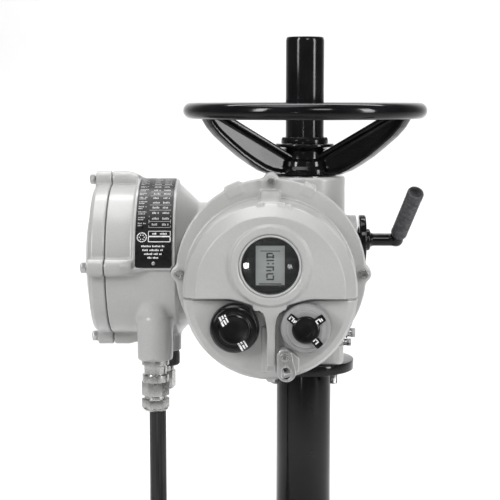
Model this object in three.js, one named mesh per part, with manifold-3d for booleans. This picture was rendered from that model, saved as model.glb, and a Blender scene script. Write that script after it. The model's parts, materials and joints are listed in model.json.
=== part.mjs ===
// A motorized valve actuator on its support column.
// Millimetres, +Z up. The origin is the middle of the foot's underside, on the drive axis.
// -Y is the front, where the control cover and its knobs are. +X is the side of the hand lever.

import * as THREE from 'three';
import { mergeVertices } from 'three/addons/utils/BufferGeometryUtils.js';
import Module from 'manifold-3d';

const wasm = await Module();
wasm.setup();

// Gap kept between two pieces that touch.
const GAP = 0.3;

// Facets round the handwheel, and round a large, a middling and a small turned piece.
const WHEEL_SIDES = 36;
const LARGE = 24;
const MEDIUM = 16;
const SMALL = 10;

// Support column: a square foot, a tube, and an ISO 5210 F10 flange on top of it.
const FOOT = { width: 160, corner: 14, thickness: 12, holeRadius: 7, holeSpacing: 120, spigot: 8 };
const COLUMN = { radius: 34, wall: 4 };
const FLANGE = { radius: 62.5, low: 214.5, high: 226.5, bore: 20, spigot: 14, boltSquare: 72.12 };
const BOLT = { radius: 5, headRadius: 9.2, headHeight: 6.4, low: 201.5 };

// Drive train on the vertical axis.
const BASE = { width: 96, corner: 12, low: 226.8, high: 250 };
const TRUNK = { neck: 40, waist: 61, belly: 73, chest: 62, top: 50, height: 455.5 };
const TRUNK_LEVELS = { neck: 258, waist: [269, 288], belly: [312, 330], chest: [345, 391], top: 404 };
const SLEEVE = { bore: 20, radius: 27, low: 228, high: 474 };
const BEARING = { outer: 38, height: 13, lowerFloor: 236, upperFloor: 431 };
const WHEEL = { teeth: 30, tip: 46, root: 41, low: 333, high: 357, cavity: 52 };
const CLUTCH = { outer: 36, height: 14, room: 40, travel: 6 };

// Worm and motor, lying along Y beside the drive axis.
const WORM = { x: -60, z: 345, radius: 14, root: 10, ridges: 4, shaft: 8, bore: 18, barrel: 44 };
const WORM_ENDS = { ridged: 18, front: -58, back: 180 };
const MOTOR = { face: 78, radius: 62, wall: 5, end: 198, flange: 70 };
const ROTOR = { radius: 28, front: 100, back: 166 };
const STATOR = { inner: 30, front: 98, back: 168 };

// Control cover: a bolted flange ring and a bell in front of it with its own centre.
const RING = { x: -41.5, z: 348.3, radius: 110.5, back: 105.9, front: 120, screws: 106.9 };
const RING_LUG = { radius: 9.5, lowScrew: 112, tip: 128.6, tipWidth: 9 };
const BELL = { x: -42.6, z: 343.4, radius: 93.2, root: 98.5, front: 230, cavity: 208, wall: 7 };
const STEP = { face: 219, shelf: -8.6, shoulder: 18.5, shoulderLow: -26, rib: 3.3, rim: 81 };
const WINDOW = { y: 27.9, ring: 45, ringFront: 233, glass: 33.6, opening: 31 };
const DISPLAY = { width: 31, height: 43, margin: 1.5, board: 204, boardWidth: 104, boardHeight: 76 };
const KNOB_ARMS = { angles: [141, 36, -49], length: 24, width: 11, hub: 15, height: 3.5 };
const KNOB = { x: 38.4, y: -39.9, radius: 27, front: 238, cap: 17.7, capFront: 242, shaft: 4.6 };
const TAB = { x: 15.4, y: -69, back: 238.5, thickness: 4, post: 7 };

// Gearcase front flange behind the control cover.
const FACE = { radius: 104, back: 86.5, front: 103.7, barrel: 74 };
const EAR = { reach: 108, radius: 8, angles: [66.6, 113.4] };
const MODULE = { radius: 60, back: 71, front: 101 };

// Terminal housing, lying along -X, with its cover on the outer end.
const TERMINAL = { y: -15, z: 354.3, radius: 91.7, neck: 69, root: 118, cone: 129.5, body: 152, end: 235 };
const TERMINAL_WALL = { cavity: 84, passage: 58, blockBack: 196, blockFront: 210 };
const TERMINAL_COVER = { back: 237, edge: 255.5, front: 268, screws: 97.4, lug: 9.6, tail: 204 };
const SCREW = { radius: 3.9, hole: 4.4, hexRadius: 7.5, capRadius: 5.6, headHeight: 7.5 };
const PLATE = { right: 157, left: 202, inner: 97.6, outer: 98.6, border: 3 };
const ENTRY = { radius: 20.2, bore: 12.6, low: 240 };
const CABLE_ENTRY = { x: -180, y: -78, dome: 313 };
const SPARE_ENTRY = { x: -173, y: -15, dome: 284 };
const GLAND = { nutLow: 177.8, nutHigh: 192.7, hexLow: 195.6, hexHigh: 213.5, hexRadius: 16.5 };
const GLAND_NECK = { collar: 15.7, collarHigh: 221.8, waist: 13.3, waistHigh: 232.4 };
const THREAD = { radius: 12.2, high: 260 };
const BLANKING = { radius: 18, low: 221, plugRadius: 13, plugLow: 190.8, plugHigh: 214, stem: 11 };

// Supply cable, held straight between the gland and a fitting on the floor.
const CABLE = { radius: 10, x: -177.5, low: 55, sides: 12 };
const CONDUIT = { radius: 21, flange: 34, flangeHeight: 6, shoulder: 35, mouth: 17 };

// Handwheel and stem cover.
const RIM = { radius: 140, tube: 9.7, z: 535.5 };
const HUB = { low: 456, ledge: 36, ledgeLow: 492, top: 495, radius: 30, shoulder: 475, waist: 25 };
const SPOKE = { web: 8, flange: 20, flangeHeight: 4.5, turns: [210, 330, 90] };
const STEM_COVER = { radius: 23.5, wall: 3, top: 625, collar: 29, collarTop: 503 };

// Hand lever on the right of the gearcase.
const LEVER = { y: -45, z: 380.6, boss: 30, face: 61, disc: 64.3, discEnd: 72.5, rod: 8, elbow: 110 };
const GRIP = { radius: 9.75, core: 5, rise: new THREE.Vector3(16.6, -60, 61.7) };
const FILLER = { z: 258.75, boss: 6.9, face: 52.5, end: 64.5, shank: 4, head: 6.2 };
const DRAIN = { z: 246.6, face: 48, end: 59.4, shank: 3, head: 4.9 };

const GREY_CASTING = { color: 0xb9bcbf, roughness: 0.5, metalness: 0.1 };
const BLACK_GLOSS = { color: 0x101012, roughness: 0.2, metalness: 0.0 };
const BLACK_MATT = { color: 0x1a1a1c, roughness: 0.55, metalness: 0.0 };
const DARK_GREY = { color: 0x5d6064, roughness: 0.5, metalness: 0.0 };
const STEEL = { color: 0x9a9c9f, roughness: 0.3, metalness: 1.0 };
const BRONZE = { color: 0xa9804a, roughness: 0.35, metalness: 1.0 };
const COPPER = { color: 0xa5623c, roughness: 0.4, metalness: 0.9 };
const RUBBER = { color: 0x202022, roughness: 0.85, metalness: 0.0 };
const BOARD = { color: 0x1f5b3a, roughness: 0.5, metalness: 0.0 };
const SCREEN = { color: 0xaab0a8, roughness: 0.35, metalness: 0.0 };
const GLASS = { color: 0xdfe6e8, roughness: 0.05, metalness: 0.0 };

const actuator = new THREE.Group();

function radians(degrees) {
  return degrees * Math.PI / 180;
}

function toSolid(geometry) {
  const bare = new THREE.BufferGeometry();
  bare.setAttribute('position', geometry.getAttribute('position'));
  bare.setIndex(geometry.getIndex());
  const merged = mergeVertices(bare);
  const corners = merged.getIndex().array;
  const triangles = [];
  for (let i = 0; i < corners.length; i += 3) {
    const [a, b, c] = corners.slice(i, i + 3);
    if (a !== b && b !== c && c !== a) {
      triangles.push(a, b, c);
    }
  }
  const vertProperties = Float32Array.from(merged.getAttribute('position').array);
  const triVerts = Uint32Array.from(triangles);
  return new wasm.Manifold(new wasm.Mesh({ numProp: 3, vertProperties, triVerts }));
}

function toGeometry(solid) {
  const mesh = solid.getMesh();
  const geometry = new THREE.BufferGeometry();
  geometry.setAttribute('position', new THREE.BufferAttribute(new Float32Array(mesh.vertProperties), 3));
  geometry.setIndex(new THREE.BufferAttribute(new Uint32Array(mesh.triVerts), 1));
  return geometry;
}

function join(first, ...others) {
  return toGeometry(others.reduce((sum, other) => sum.add(toSolid(other)), toSolid(first)));
}

function cut(first, ...tools) {
  return toGeometry(tools.reduce((rest, tool) => rest.subtract(toSolid(tool)), toSolid(first)));
}

// A turned solid about Z from [radius, height] points that start and end on the axis or close up.
function turned(points, sides = MEDIUM) {
  const profile = points.map(([radius, height]) => new THREE.Vector2(radius, height));
  return new THREE.LatheGeometry(profile, sides).rotateX(Math.PI / 2);
}

function disc(radius, low, high, sides) {
  return turned([[0, low], [radius, low], [radius, high], [0, high]], sides);
}

function ring(inner, outer, low, high, sides) {
  return turned([[inner, low], [outer, low], [outer, high], [inner, high], [inner, low]], sides);
}

function slab(shape, low, high, curveSegments = 4) {
  const options = { depth: high - low, bevelEnabled: false, curveSegments };
  return new THREE.ExtrudeGeometry(shape, options).translate(0, 0, low);
}

function roundedRectangle(width, height, corner) {
  const x = width / 2 - corner;
  const y = height / 2 - corner;
  const shape = new THREE.Shape();
  shape.absarc(x, y, corner, 0, radians(90), false);
  shape.absarc(-x, y, corner, radians(90), radians(180), false);
  shape.absarc(-x, -y, corner, radians(180), radians(270), false);
  shape.absarc(x, -y, corner, radians(270), radians(360), false);
  return shape;
}

function ringSector(inner, outer, from, to) {
  const shape = new THREE.Shape();
  shape.absarc(0, 0, outer, radians(from), radians(to), false);
  shape.absarc(0, 0, inner, radians(to), radians(from), true);
  return shape;
}

function block(width, depth, height) {
  return new THREE.BoxGeometry(width, depth, height);
}

// These turn a piece made about Z so that its +Z end faces the front, back, left or right.
function facingFront(geometry) {
  return geometry.rotateX(Math.PI / 2);
}

function facingBack(geometry) {
  return geometry.rotateX(-Math.PI / 2);
}

function facingLeft(geometry) {
  return geometry.rotateY(-Math.PI / 2);
}

function facingRight(geometry) {
  return geometry.rotateY(Math.PI / 2);
}

function add(group, name, geometry, finish) {
  const mesh = new THREE.Mesh(geometry, new THREE.MeshStandardMaterial(finish));
  mesh.name = name;
  group.add(mesh);
  return mesh;
}

function groupAt(x, y, z) {
  const group = new THREE.Group();
  group.position.set(x, y, z);
  actuator.add(group);
  return group;
}

// The four corners of the F10 bolt square.
const boltPlaces = [[1, -1], [1, 1], [-1, 1], [-1, -1]].map(([x, y]) => [
  x * FLANGE.boltSquare / 2,
  y * FLANGE.boltSquare / 2,
]);

// Ring screws, measured from the middle of the control cover's flange ring.
const ringScrews = [
  { side: 'top', x: 0, z: RING.screws },
  { side: 'left', x: -RING.screws, z: 0 },
  { side: 'right', x: RING.screws, z: 0 },
  { side: 'bottom', x: 0, z: -RING_LUG.lowScrew },
];

// Terminal cover screws: how far each lies behind and above the housing's axis.
const terminalScrews = [
  { side: 'top', y: 0, z: TERMINAL_COVER.screws },
  { side: 'bottom', y: 0, z: -TERMINAL_COVER.screws },
  { side: 'front', y: -TERMINAL_COVER.screws, z: 0 },
  { side: 'rear', y: TERMINAL_COVER.screws, z: 0 },
];

function columnFoot() {
  const spigotRadius = COLUMN.radius - COLUMN.wall - GAP;
  const plate = slab(roundedRectangle(FOOT.width, FOOT.width, FOOT.corner), 0, FOOT.thickness);
  const spigot = disc(spigotRadius, FOOT.thickness - 1, FOOT.thickness + FOOT.spigot);
  const holes = [[1, 1], [1, -1], [-1, 1], [-1, -1]].map(([x, y]) => {
    const hole = disc(FOOT.holeRadius, -1, FOOT.thickness + 1, SMALL);
    return hole.translate(x * FOOT.holeSpacing / 2, y * FOOT.holeSpacing / 2, 0);
  });
  return cut(join(plate, spigot), ...holes);
}

function columnFlange() {
  const spigotRadius = COLUMN.radius - COLUMN.wall - GAP;
  const spigotLow = FLANGE.low - FLANGE.spigot;
  const body = turned([
    [FLANGE.bore, spigotLow],
    [spigotRadius, spigotLow],
    [spigotRadius, FLANGE.low],
    [FLANGE.radius - 1, FLANGE.low],
    [FLANGE.radius, FLANGE.low + 1],
    [FLANGE.radius, FLANGE.high - 1],
    [FLANGE.radius - 1, FLANGE.high],
    [FLANGE.bore, FLANGE.high],
    [FLANGE.bore, spigotLow],
  ], LARGE);
  const holes = boltPlaces.map(([x, y]) => {
    return disc(BOLT.radius + GAP, FLANGE.low - 1, FLANGE.high + 1, SMALL).translate(x, y, 0);
  });
  return cut(body, ...holes);
}

function hexBolt(headLow) {
  const shank = disc(BOLT.radius - GAP, BOLT.low, headLow + 1, SMALL);
  const head = disc(BOLT.headRadius, headLow, headLow + BOLT.headHeight, 6);
  return join(shank, head);
}

function buildColumn() {
  add(actuator, 'column_foot', columnFoot(), BLACK_GLOSS);
  const tubeLow = FOOT.thickness + GAP;
  const tubeHigh = FLANGE.low - GAP;
  const tube = ring(COLUMN.radius - COLUMN.wall, COLUMN.radius, tubeLow, tubeHigh, LARGE);
  add(actuator, 'column_tube', tube, BLACK_GLOSS);
  add(actuator, 'column_flange', columnFlange(), BLACK_GLOSS);
  boltPlaces.forEach(([x, y], i) => {
    const bolt = add(actuator, `base_bolt_${i + 1}`, hexBolt(BASE.high + GAP), STEEL);
    bolt.position.set(x, y, 0);
  });
}

// Outer shape of the gearcase about the drive axis.
function trunk() {
  return turned([
    [0, BASE.high - 2],
    [TRUNK.neck, BASE.high - 2],
    [TRUNK.neck, TRUNK_LEVELS.neck],
    ...TRUNK_LEVELS.waist.map((height) => [TRUNK.waist, height]),
    ...TRUNK_LEVELS.belly.map((height) => [TRUNK.belly, height]),
    ...TRUNK_LEVELS.chest.map((height) => [TRUNK.chest, height]),
    [TRUNK.top, TRUNK_LEVELS.top],
    [TRUNK.top, TRUNK.height - 2],
    [TRUNK.top - 2, TRUNK.height],
    [0, TRUNK.height],
  ], LARGE);
}

function gearcaseOutside() {
  const wormBarrel = facingBack(disc(WORM.barrel, -20, MOTOR.face - 10, MEDIUM));
  const motorFlange = facingBack(disc(MOTOR.flange, MOTOR.face - 14, MOTOR.face, LARGE));
  const lugs = ringScrews.map(({ x, z }) => {
    const lug = facingFront(disc(RING_LUG.radius, FACE.back, FACE.front, SMALL));
    return lug.translate(RING.x + x, 0, RING.z + z);
  });
  const ears = EAR.angles.map((angle) => {
    const x = RING.x + EAR.reach * Math.cos(radians(angle));
    const z = RING.z + EAR.reach * Math.sin(radians(angle));
    return facingFront(disc(EAR.radius, FACE.back + 4, FACE.front, SMALL)).translate(x, 0, z);
  });
  return join(
    trunk(),
    slab(roundedRectangle(BASE.width, BASE.width, BASE.corner), BASE.low, BASE.high),
    facingFront(disc(FACE.radius, FACE.back, FACE.front, LARGE)).translate(RING.x, 0, RING.z),
    facingFront(disc(FACE.barrel, 5, FACE.front - 1, LARGE)).translate(RING.x, 0, RING.z),
    facingLeft(disc(TERMINAL.neck, 5, TERMINAL.root - GAP, LARGE)).translate(0, TERMINAL.y, TERMINAL.z),
    wormBarrel.translate(WORM.x, 0, WORM.z),
    motorFlange.translate(WORM.x, 0, WORM.z),
    facingRight(disc(LEVER.boss, 20, LEVER.face)).translate(0, LEVER.y, LEVER.z),
    facingRight(disc(FILLER.boss, 30, FILLER.face, SMALL)).translate(0, 0, FILLER.z),
    ...lugs,
    ...ears,
  );
}

function gearcase() {
  const stemBore = disc(SLEEVE.radius + 2, BASE.low - 1, TRUNK.height + 1, LARGE);
  const lowerPocket = disc(BEARING.outer + GAP, BASE.low - 1, BEARING.lowerFloor + BEARING.height + GAP, LARGE);
  const upperPocket = disc(BEARING.outer + GAP, BEARING.upperFloor - GAP, TRUNK.height + 1, LARGE);
  const wheelRoom = disc(WHEEL.cavity, WHEEL.low - 5, WHEEL.high + 3, LARGE);
  const clutchTop = WHEEL.high + CLUTCH.height + CLUTCH.travel + 4;
  const clutchRoom = disc(CLUTCH.room, WHEEL.high, clutchTop);
  const wormBore = facingBack(disc(WORM.bore, WORM_ENDS.front - 4, MOTOR.face + 1));
  const frontRoom = facingFront(disc(MODULE.radius + 6, MODULE.back - 1, FACE.front + 1, LARGE));
  const sideRoom = facingLeft(disc(TERMINAL_WALL.passage, 92, TERMINAL.root + 1, LARGE));
  const leverHole = facingRight(disc(LEVER.rod + 3 * GAP, 42, LEVER.face + 1, SMALL));
  const plugHoles = [FILLER, DRAIN].map(({ z, face, shank }) => {
    return facingRight(disc(shank + GAP + 0.1, face - 8, face + 1, SMALL)).translate(0, 0, z);
  });
  const boltHoles = boltPlaces.map(([x, y]) => {
    return disc(BOLT.radius + GAP, BASE.low - 1, BASE.high + 1, SMALL).translate(x, y, 0);
  });
  const screwHoles = ringScrews.map(({ x, z }) => {
    const hole = facingFront(disc(SCREW.hole, FACE.back - 4, FACE.front + 1, SMALL));
    return hole.translate(RING.x + x, 0, RING.z + z);
  });
  return cut(
    gearcaseOutside(),
    stemBore,
    lowerPocket,
    upperPocket,
    wheelRoom,
    clutchRoom,
    wormBore.translate(WORM.x, 0, WORM.z),
    frontRoom.translate(RING.x, 0, RING.z),
    sideRoom.translate(0, TERMINAL.y, TERMINAL.z),
    leverHole.translate(0, LEVER.y, LEVER.z),
    ...plugHoles,
    ...boltHoles,
    ...screwHoles,
  );
}

function oilPlug({ shank, head, face, end }) {
  const body = join(disc(shank, face - 6, face + 1, SMALL), disc(head, face + GAP, end, 6));
  return facingRight(body);
}

function buildGearcase() {
  add(actuator, 'gearcase', gearcase(), GREY_CASTING);
  add(actuator, 'oil_filler_plug', oilPlug(FILLER), STEEL).position.z = FILLER.z;
  add(actuator, 'oil_drain_plug', oilPlug(DRAIN), STEEL).position.z = DRAIN.z;
  const module = facingFront(disc(MODULE.radius, MODULE.back, MODULE.front, LARGE));
  add(actuator, 'control_module', module, BLACK_MATT).position.set(RING.x, 0, RING.z);
}

function wormWheel() {
  const shape = new THREE.Shape();
  const pitch = 360 / WHEEL.teeth;
  for (let tooth = 0; tooth < WHEEL.teeth; tooth += 1) {
    const corners = [[0, WHEEL.root], [0.2, WHEEL.tip], [0.5, WHEEL.tip], [0.7, WHEEL.root]];
    for (const [share, radius] of corners) {
      const angle = radians((tooth + share) * pitch);
      const x = radius * Math.cos(angle);
      const y = radius * Math.sin(angle);
      if (tooth === 0 && share === 0) {
        shape.moveTo(x, y);
      } else {
        shape.lineTo(x, y);
      }
    }
  }
  const bore = disc(SLEEVE.radius + 2 * GAP, WHEEL.low - 1, WHEEL.high + 1, LARGE);
  return cut(slab(shape, WHEEL.low, WHEEL.high), bore);
}

// The worm's thread is drawn as a row of ridges.
function wormShaft() {
  const { ridged, front, back } = WORM_ENDS;
  const ridge = 2 * ridged / WORM.ridges;
  const points = [[0, front], [WORM.shaft, front], [WORM.shaft, -ridged]];
  for (let i = 0; i < WORM.ridges; i += 1) {
    const start = i * ridge - ridged;
    points.push([WORM.root, start], [WORM.radius, start + ridge * 0.3]);
    points.push([WORM.radius, start + ridge * 0.6], [WORM.root, start + ridge * 0.9]);
  }
  points.push([WORM.shaft, ridged], [WORM.shaft, back], [0, back]);
  return facingBack(turned(points, SMALL));
}

function motorCover() {
  return facingBack(turned([
    [MOTOR.radius - MOTOR.wall, MOTOR.face + GAP],
    [MOTOR.flange, MOTOR.face + GAP],
    [MOTOR.flange, MOTOR.face + 9],
    [MOTOR.radius, MOTOR.face + 13],
    [MOTOR.radius - 1, MOTOR.end - 22],
    [MOTOR.radius - 8, MOTOR.end - 8],
    [MOTOR.radius - 22, MOTOR.end - 1],
    [0, MOTOR.end],
    [0, MOTOR.end - MOTOR.wall],
    [MOTOR.radius - 24, MOTOR.end - MOTOR.wall - 2],
    [MOTOR.radius - MOTOR.wall, MOTOR.end - 25],
    [MOTOR.radius - MOTOR.wall, MOTOR.face + GAP],
  ], LARGE));
}

function buildDriveTrain() {
  add(actuator, 'drive_sleeve', ring(SLEEVE.bore, SLEEVE.radius, SLEEVE.low, SLEEVE.high, LARGE), STEEL);
  add(actuator, 'drive_nut', ring(14, SLEEVE.bore - GAP, SLEEVE.low, SLEEVE.low + 42, MEDIUM), BRONZE);
  const bearing = ring(SLEEVE.radius + GAP, BEARING.outer, 0, BEARING.height, LARGE);
  add(actuator, 'lower_bearing', bearing, STEEL).position.z = BEARING.lowerFloor;
  add(actuator, 'upper_bearing', bearing.clone(), STEEL).position.z = BEARING.upperFloor;
  add(actuator, 'worm_wheel', wormWheel(), BRONZE);
  const clutchLow = WHEEL.high + GAP;
  const clutch = ring(SLEEVE.radius + 2 * GAP, CLUTCH.outer, clutchLow, clutchLow + CLUTCH.height, MEDIUM);
  add(actuator, 'clutch_ring', clutch, STEEL);
}

function buildMotor() {
  const motor = groupAt(WORM.x, 0, WORM.z);
  add(motor, 'worm_shaft', wormShaft(), STEEL);
  const rotor = facingBack(ring(WORM.shaft + 2 * GAP, ROTOR.radius, ROTOR.front, ROTOR.back, MEDIUM));
  add(motor, 'motor_rotor', rotor, STEEL);
  const statorRadius = MOTOR.radius - MOTOR.wall - 4 * GAP;
  const stator = facingBack(ring(STATOR.inner, statorRadius, STATOR.front, STATOR.back, MEDIUM));
  add(motor, 'motor_stator', stator, COPPER);
  add(motor, 'motor_cover', motorCover(), GREY_CASTING);
}

// The bell's outside, from inside the flange ring to the front face.
function bellOutside() {
  return facingFront(turned([
    [0, RING.back + 4],
    [BELL.root, RING.back + 4],
    [BELL.root - 1, RING.front],
    [BELL.root - 2.7, RING.front + 40],
    [BELL.radius, BELL.front - 12],
    [BELL.radius - 2.5, BELL.front - 5],
    [BELL.radius - 6.5, BELL.front - 1.5],
    [STEP.rim, BELL.front],
    [0, BELL.front],
  ], LARGE));
}

function bellInside() {
  return facingFront(turned([
    [0, RING.back - 1],
    [BELL.root - BELL.wall - 3, RING.back - 1],
    [BELL.root - BELL.wall - 3, RING.front],
    [BELL.radius - BELL.wall, BELL.cavity - 6],
    [BELL.radius - BELL.wall - 5, BELL.cavity],
    [0, BELL.cavity],
  ], LARGE));
}

// What is cut away below the shelf: the lower half of the front steps back to the knob face,
// except for the window ring, the shoulder under it and the rib that runs down to the low lug.
function lowerStep() {
  const reach = BELL.front + 6;
  const height = 2 * BELL.radius;
  const half = block(2 * height, height, reach - STEP.face);
  half.translate(0, STEP.shelf - height / 2, (reach + STEP.face) / 2);
  const ringDisc = disc(WINDOW.ring, STEP.face - 1, reach + 1, LARGE).translate(0, WINDOW.y, 0);
  const shoulder = block(2 * STEP.shoulder, 40, reach + 2 - STEP.face);
  shoulder.translate(0, STEP.shoulderLow + 20, (reach + STEP.face) / 2);
  const ribTop = BELL.front - 1;
  const rib = block(2 * STEP.rib, 90, ribTop - STEP.face + 1);
  rib.translate(0, -BELL.radius + 40, (ribTop + STEP.face - 1) / 2);
  const knobRooms = [-1, 1].map((side) => {
    const room = disc(KNOB.radius + 5 * GAP, STEP.face, reach, LARGE);
    return room.translate(side * KNOB.x, KNOB.y, 0);
  });
  return facingFront(join(cut(half, ringDisc, shoulder, rib), ...knobRooms));
}

function controlCover() {
  const dx = RING.x - BELL.x;
  const dz = RING.z - BELL.z;
  const flange = facingFront(turned([
    [0, RING.back],
    [RING.radius, RING.back],
    [RING.radius, RING.front - 4],
    [RING.radius - 4, RING.front],
    [0, RING.front],
  ], LARGE));
  const lugs = ringScrews.map(({ x, z }) => {
    const lug = facingFront(disc(RING_LUG.radius, RING.back, RING.front, SMALL));
    return lug.translate(dx + x, 0, dz + z);
  });
  const tipHeight = RING_LUG.tip - RING_LUG.lowScrew;
  const tip = block(RING_LUG.tipWidth, RING.front - 2 - RING.back, tipHeight);
  tip.translate(dx, -(RING.front - 2 + RING.back) / 2, dz - RING_LUG.tip + tipHeight / 2);
  const windowRing = facingFront(disc(WINDOW.ring, BELL.front - 20, WINDOW.ringFront, LARGE));
  windowRing.translate(0, 0, WINDOW.y);
  const body = join(flange.translate(dx, 0, dz), bellOutside(), windowRing, tip, ...lugs);
  const post = facingFront(disc(TAB.post, STEP.face - 2, TAB.back - GAP, SMALL));
  const pocketed = join(cut(body, lowerStep()), post.translate(TAB.x, 0, TAB.y));
  const seat = facingFront(disc(WINDOW.glass + GAP, BELL.front - 4, WINDOW.ringFront + 1, LARGE));
  const opening = facingFront(disc(WINDOW.opening, BELL.cavity - 1, BELL.front, LARGE));
  const shafts = [-1, 1].map((side) => {
    const hole = facingFront(disc(KNOB.shaft + 2 * GAP, BELL.cavity - 1, STEP.face + 1, SMALL));
    return hole.translate(side * KNOB.x, 0, KNOB.y);
  });
  const screwHoles = ringScrews.map(({ x, z }) => {
    const hole = facingFront(disc(SCREW.hole, RING.back - 1, RING.front + 1, SMALL));
    return hole.translate(dx + x, 0, dz + z);
  });
  const tabHole = facingFront(disc(3, STEP.face + 2, TAB.back + 1, SMALL)).translate(TAB.x, 0, TAB.y);
  return cut(
    pocketed,
    bellInside(),
    seat.translate(0, 0, WINDOW.y),
    opening.translate(0, 0, WINDOW.y),
    ...shafts,
    ...screwHoles,
    tabHole,
  );
}

function capScrew(headBack, tip) {
  const shank = disc(SCREW.radius, tip, headBack + 1, SMALL);
  const head = disc(SCREW.capRadius, headBack, headBack + SCREW.headHeight, SMALL);
  const socket = disc(2.9, headBack + 3.5, headBack + SCREW.headHeight + 1, 6);
  return cut(join(shank, head), socket);
}

function hexScrew(headBack, tip) {
  const shank = disc(SCREW.radius, tip, headBack + 1, SMALL);
  return join(shank, disc(SCREW.hexRadius, headBack, headBack + SCREW.headHeight, 6));
}

function modeKnob() {
  return facingFront(turned([
    [0, BELL.cavity - 3],
    [KNOB.shaft, BELL.cavity - 3],
    [KNOB.shaft, STEP.face + 1.5],
    [KNOB.radius - 1, STEP.face + 1.5],
    [KNOB.radius, KNOB.front - 6],
    [KNOB.radius - 3, KNOB.front],
    [KNOB.cap + 1, KNOB.front],
    [KNOB.cap, KNOB.capFront - 1],
    [KNOB.cap - 2, KNOB.capFront],
    [0, KNOB.capFront],
  ], MEDIUM));
}

function commandKnob() {
  return facingFront(turned([
    [0, BELL.cavity - 3],
    [KNOB.shaft, BELL.cavity - 3],
    [KNOB.shaft, STEP.face + 1.5],
    [KNOB.radius - 1, STEP.face + 1.5],
    [KNOB.radius, KNOB.front - 6],
    [KNOB.radius - 3, KNOB.front],
    [0, KNOB.front],
  ], MEDIUM));
}

// A black hub with three label arms, laid on the face of the command knob.
function commandInsert() {
  const low = KNOB.front + GAP;
  const high = KNOB.front + KNOB_ARMS.height;
  const arms = KNOB_ARMS.angles.map((angle) => {
    const arm = block(KNOB_ARMS.length, KNOB_ARMS.width, high - low);
    return arm.translate(KNOB_ARMS.length / 2, 0, (low + high) / 2).rotateZ(radians(angle));
  });
  return facingFront(join(disc(KNOB_ARMS.hub, low, high, MEDIUM), ...arms));
}

function lockTab() {
  const shape = new THREE.Shape();
  shape.moveTo(-8.5, 0);
  shape.absarc(-3.5, -23, 5, radians(180), radians(270), false);
  shape.absarc(6.9, -23, 5, radians(270), radians(360), false);
  shape.absarc(3.9, 1, 8, radians(0), radians(90), false);
  shape.absarc(-0.5, 1, 8, radians(90), radians(180), false);
  const slot = new THREE.Path();
  slot.absarc(1.7, -16.4, 4.8, 0, radians(180), false);
  slot.absarc(1.7, -19.8, 4.8, radians(180), radians(360), false);
  const pivot = new THREE.Path();
  pivot.absarc(0, 0, 3.2, 0, 2 * Math.PI, false);
  shape.holes.push(slot, pivot);
  return facingFront(slab(shape, TAB.back, TAB.back + TAB.thickness, 5));
}

function lockTabScrew() {
  const face = TAB.back + TAB.thickness + GAP;
  return facingFront(join(disc(2.6, STEP.face + 5, face + 1, SMALL), disc(5.9, face, face + 3.2, SMALL)));
}

function displayBezel() {
  const face = disc(WINDOW.opening - 2 * GAP, BELL.front - 11, BELL.front - 4.4, LARGE);
  const opening = block(DISPLAY.width, DISPLAY.height, 20).translate(0, 0, BELL.front - 8);
  return facingFront(cut(face, opening));
}

function displayPanel() {
  const width = DISPLAY.width + 2 * DISPLAY.margin;
  const height = DISPLAY.height + 2 * DISPLAY.margin;
  const low = DISPLAY.board + 2 + GAP;
  const high = BELL.front - 11 - GAP;
  return facingFront(block(width, height, high - low).translate(0, 0, (low + high) / 2));
}

function buildControls() {
  const ringGroup = groupAt(RING.x, 0, RING.z);
  const seal = facingFront(ring(FACE.radius - 7, FACE.radius - 1, FACE.front + GAP, RING.back - GAP, LARGE));
  add(ringGroup, 'control_cover_seal', seal, RUBBER);
  for (const { side, x, z } of ringScrews) {
    const screw = facingFront(capScrew(RING.front + GAP, FACE.back + 1));
    add(ringGroup, `control_cover_screw_${side}`, screw, STEEL).position.set(x, 0, z);
  }
  const bell = groupAt(BELL.x, 0, BELL.z);
  add(bell, 'control_cover', controlCover(), GREY_CASTING);
  const glass = facingFront(disc(WINDOW.glass, BELL.front - 4 + GAP, WINDOW.ringFront - 1, LARGE));
  add(bell, 'window_glass', glass, GLASS).position.z = WINDOW.y;
  add(bell, 'display_bezel', displayBezel(), BLACK_MATT).position.z = WINDOW.y;
  add(bell, 'display_panel', displayPanel(), SCREEN).position.z = WINDOW.y;
  const board = facingFront(block(DISPLAY.boardWidth, DISPLAY.boardHeight, 2).translate(0, 0, DISPLAY.board + 1));
  add(bell, 'display_board', board, BOARD).position.z = WINDOW.y - 6;
  add(bell, 'mode_knob', modeKnob(), BLACK_GLOSS).position.set(-KNOB.x, 0, KNOB.y);
  add(bell, 'command_knob', commandKnob(), DARK_GREY).position.set(KNOB.x, 0, KNOB.y);
  add(bell, 'command_knob_insert', commandInsert(), BLACK_GLOSS).position.set(KNOB.x, 0, KNOB.y);
  add(bell, 'lock_tab', lockTab(), STEEL).position.set(TAB.x, 0, TAB.y);
  add(bell, 'lock_tab_screw', lockTabScrew(), STEEL).position.set(TAB.x, 0, TAB.y);
}

function conduitEntry({ x, y, dome }) {
  const low = ENTRY.low - TERMINAL.z;
  const high = dome - TERMINAL.z;
  const boss = turned([
    [0, low],
    [ENTRY.radius - 1, low],
    [ENTRY.radius, low + 1],
    [ENTRY.radius, high - 14],
    [ENTRY.radius - 4, high - 5],
    [ENTRY.radius - 12, high],
    [0, high + 1],
  ], MEDIUM);
  return boss.translate(x, y - TERMINAL.y, 0);
}

// The room that the control cover's flange ring and its left lug take up beside the neck.
function coverClearance() {
  const back = FACE.back - GAP;
  const flange = facingFront(disc(RING.radius + 2 * GAP, back, RING.front + 5, LARGE));
  const lug = facingFront(disc(RING_LUG.radius + 2 * GAP, back, RING.front + 5, SMALL));
  const clearance = join(flange, lug.translate(-RING.screws, 0, 0));
  return clearance.translate(RING.x, -TERMINAL.y, RING.z - TERMINAL.z);
}

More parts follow.
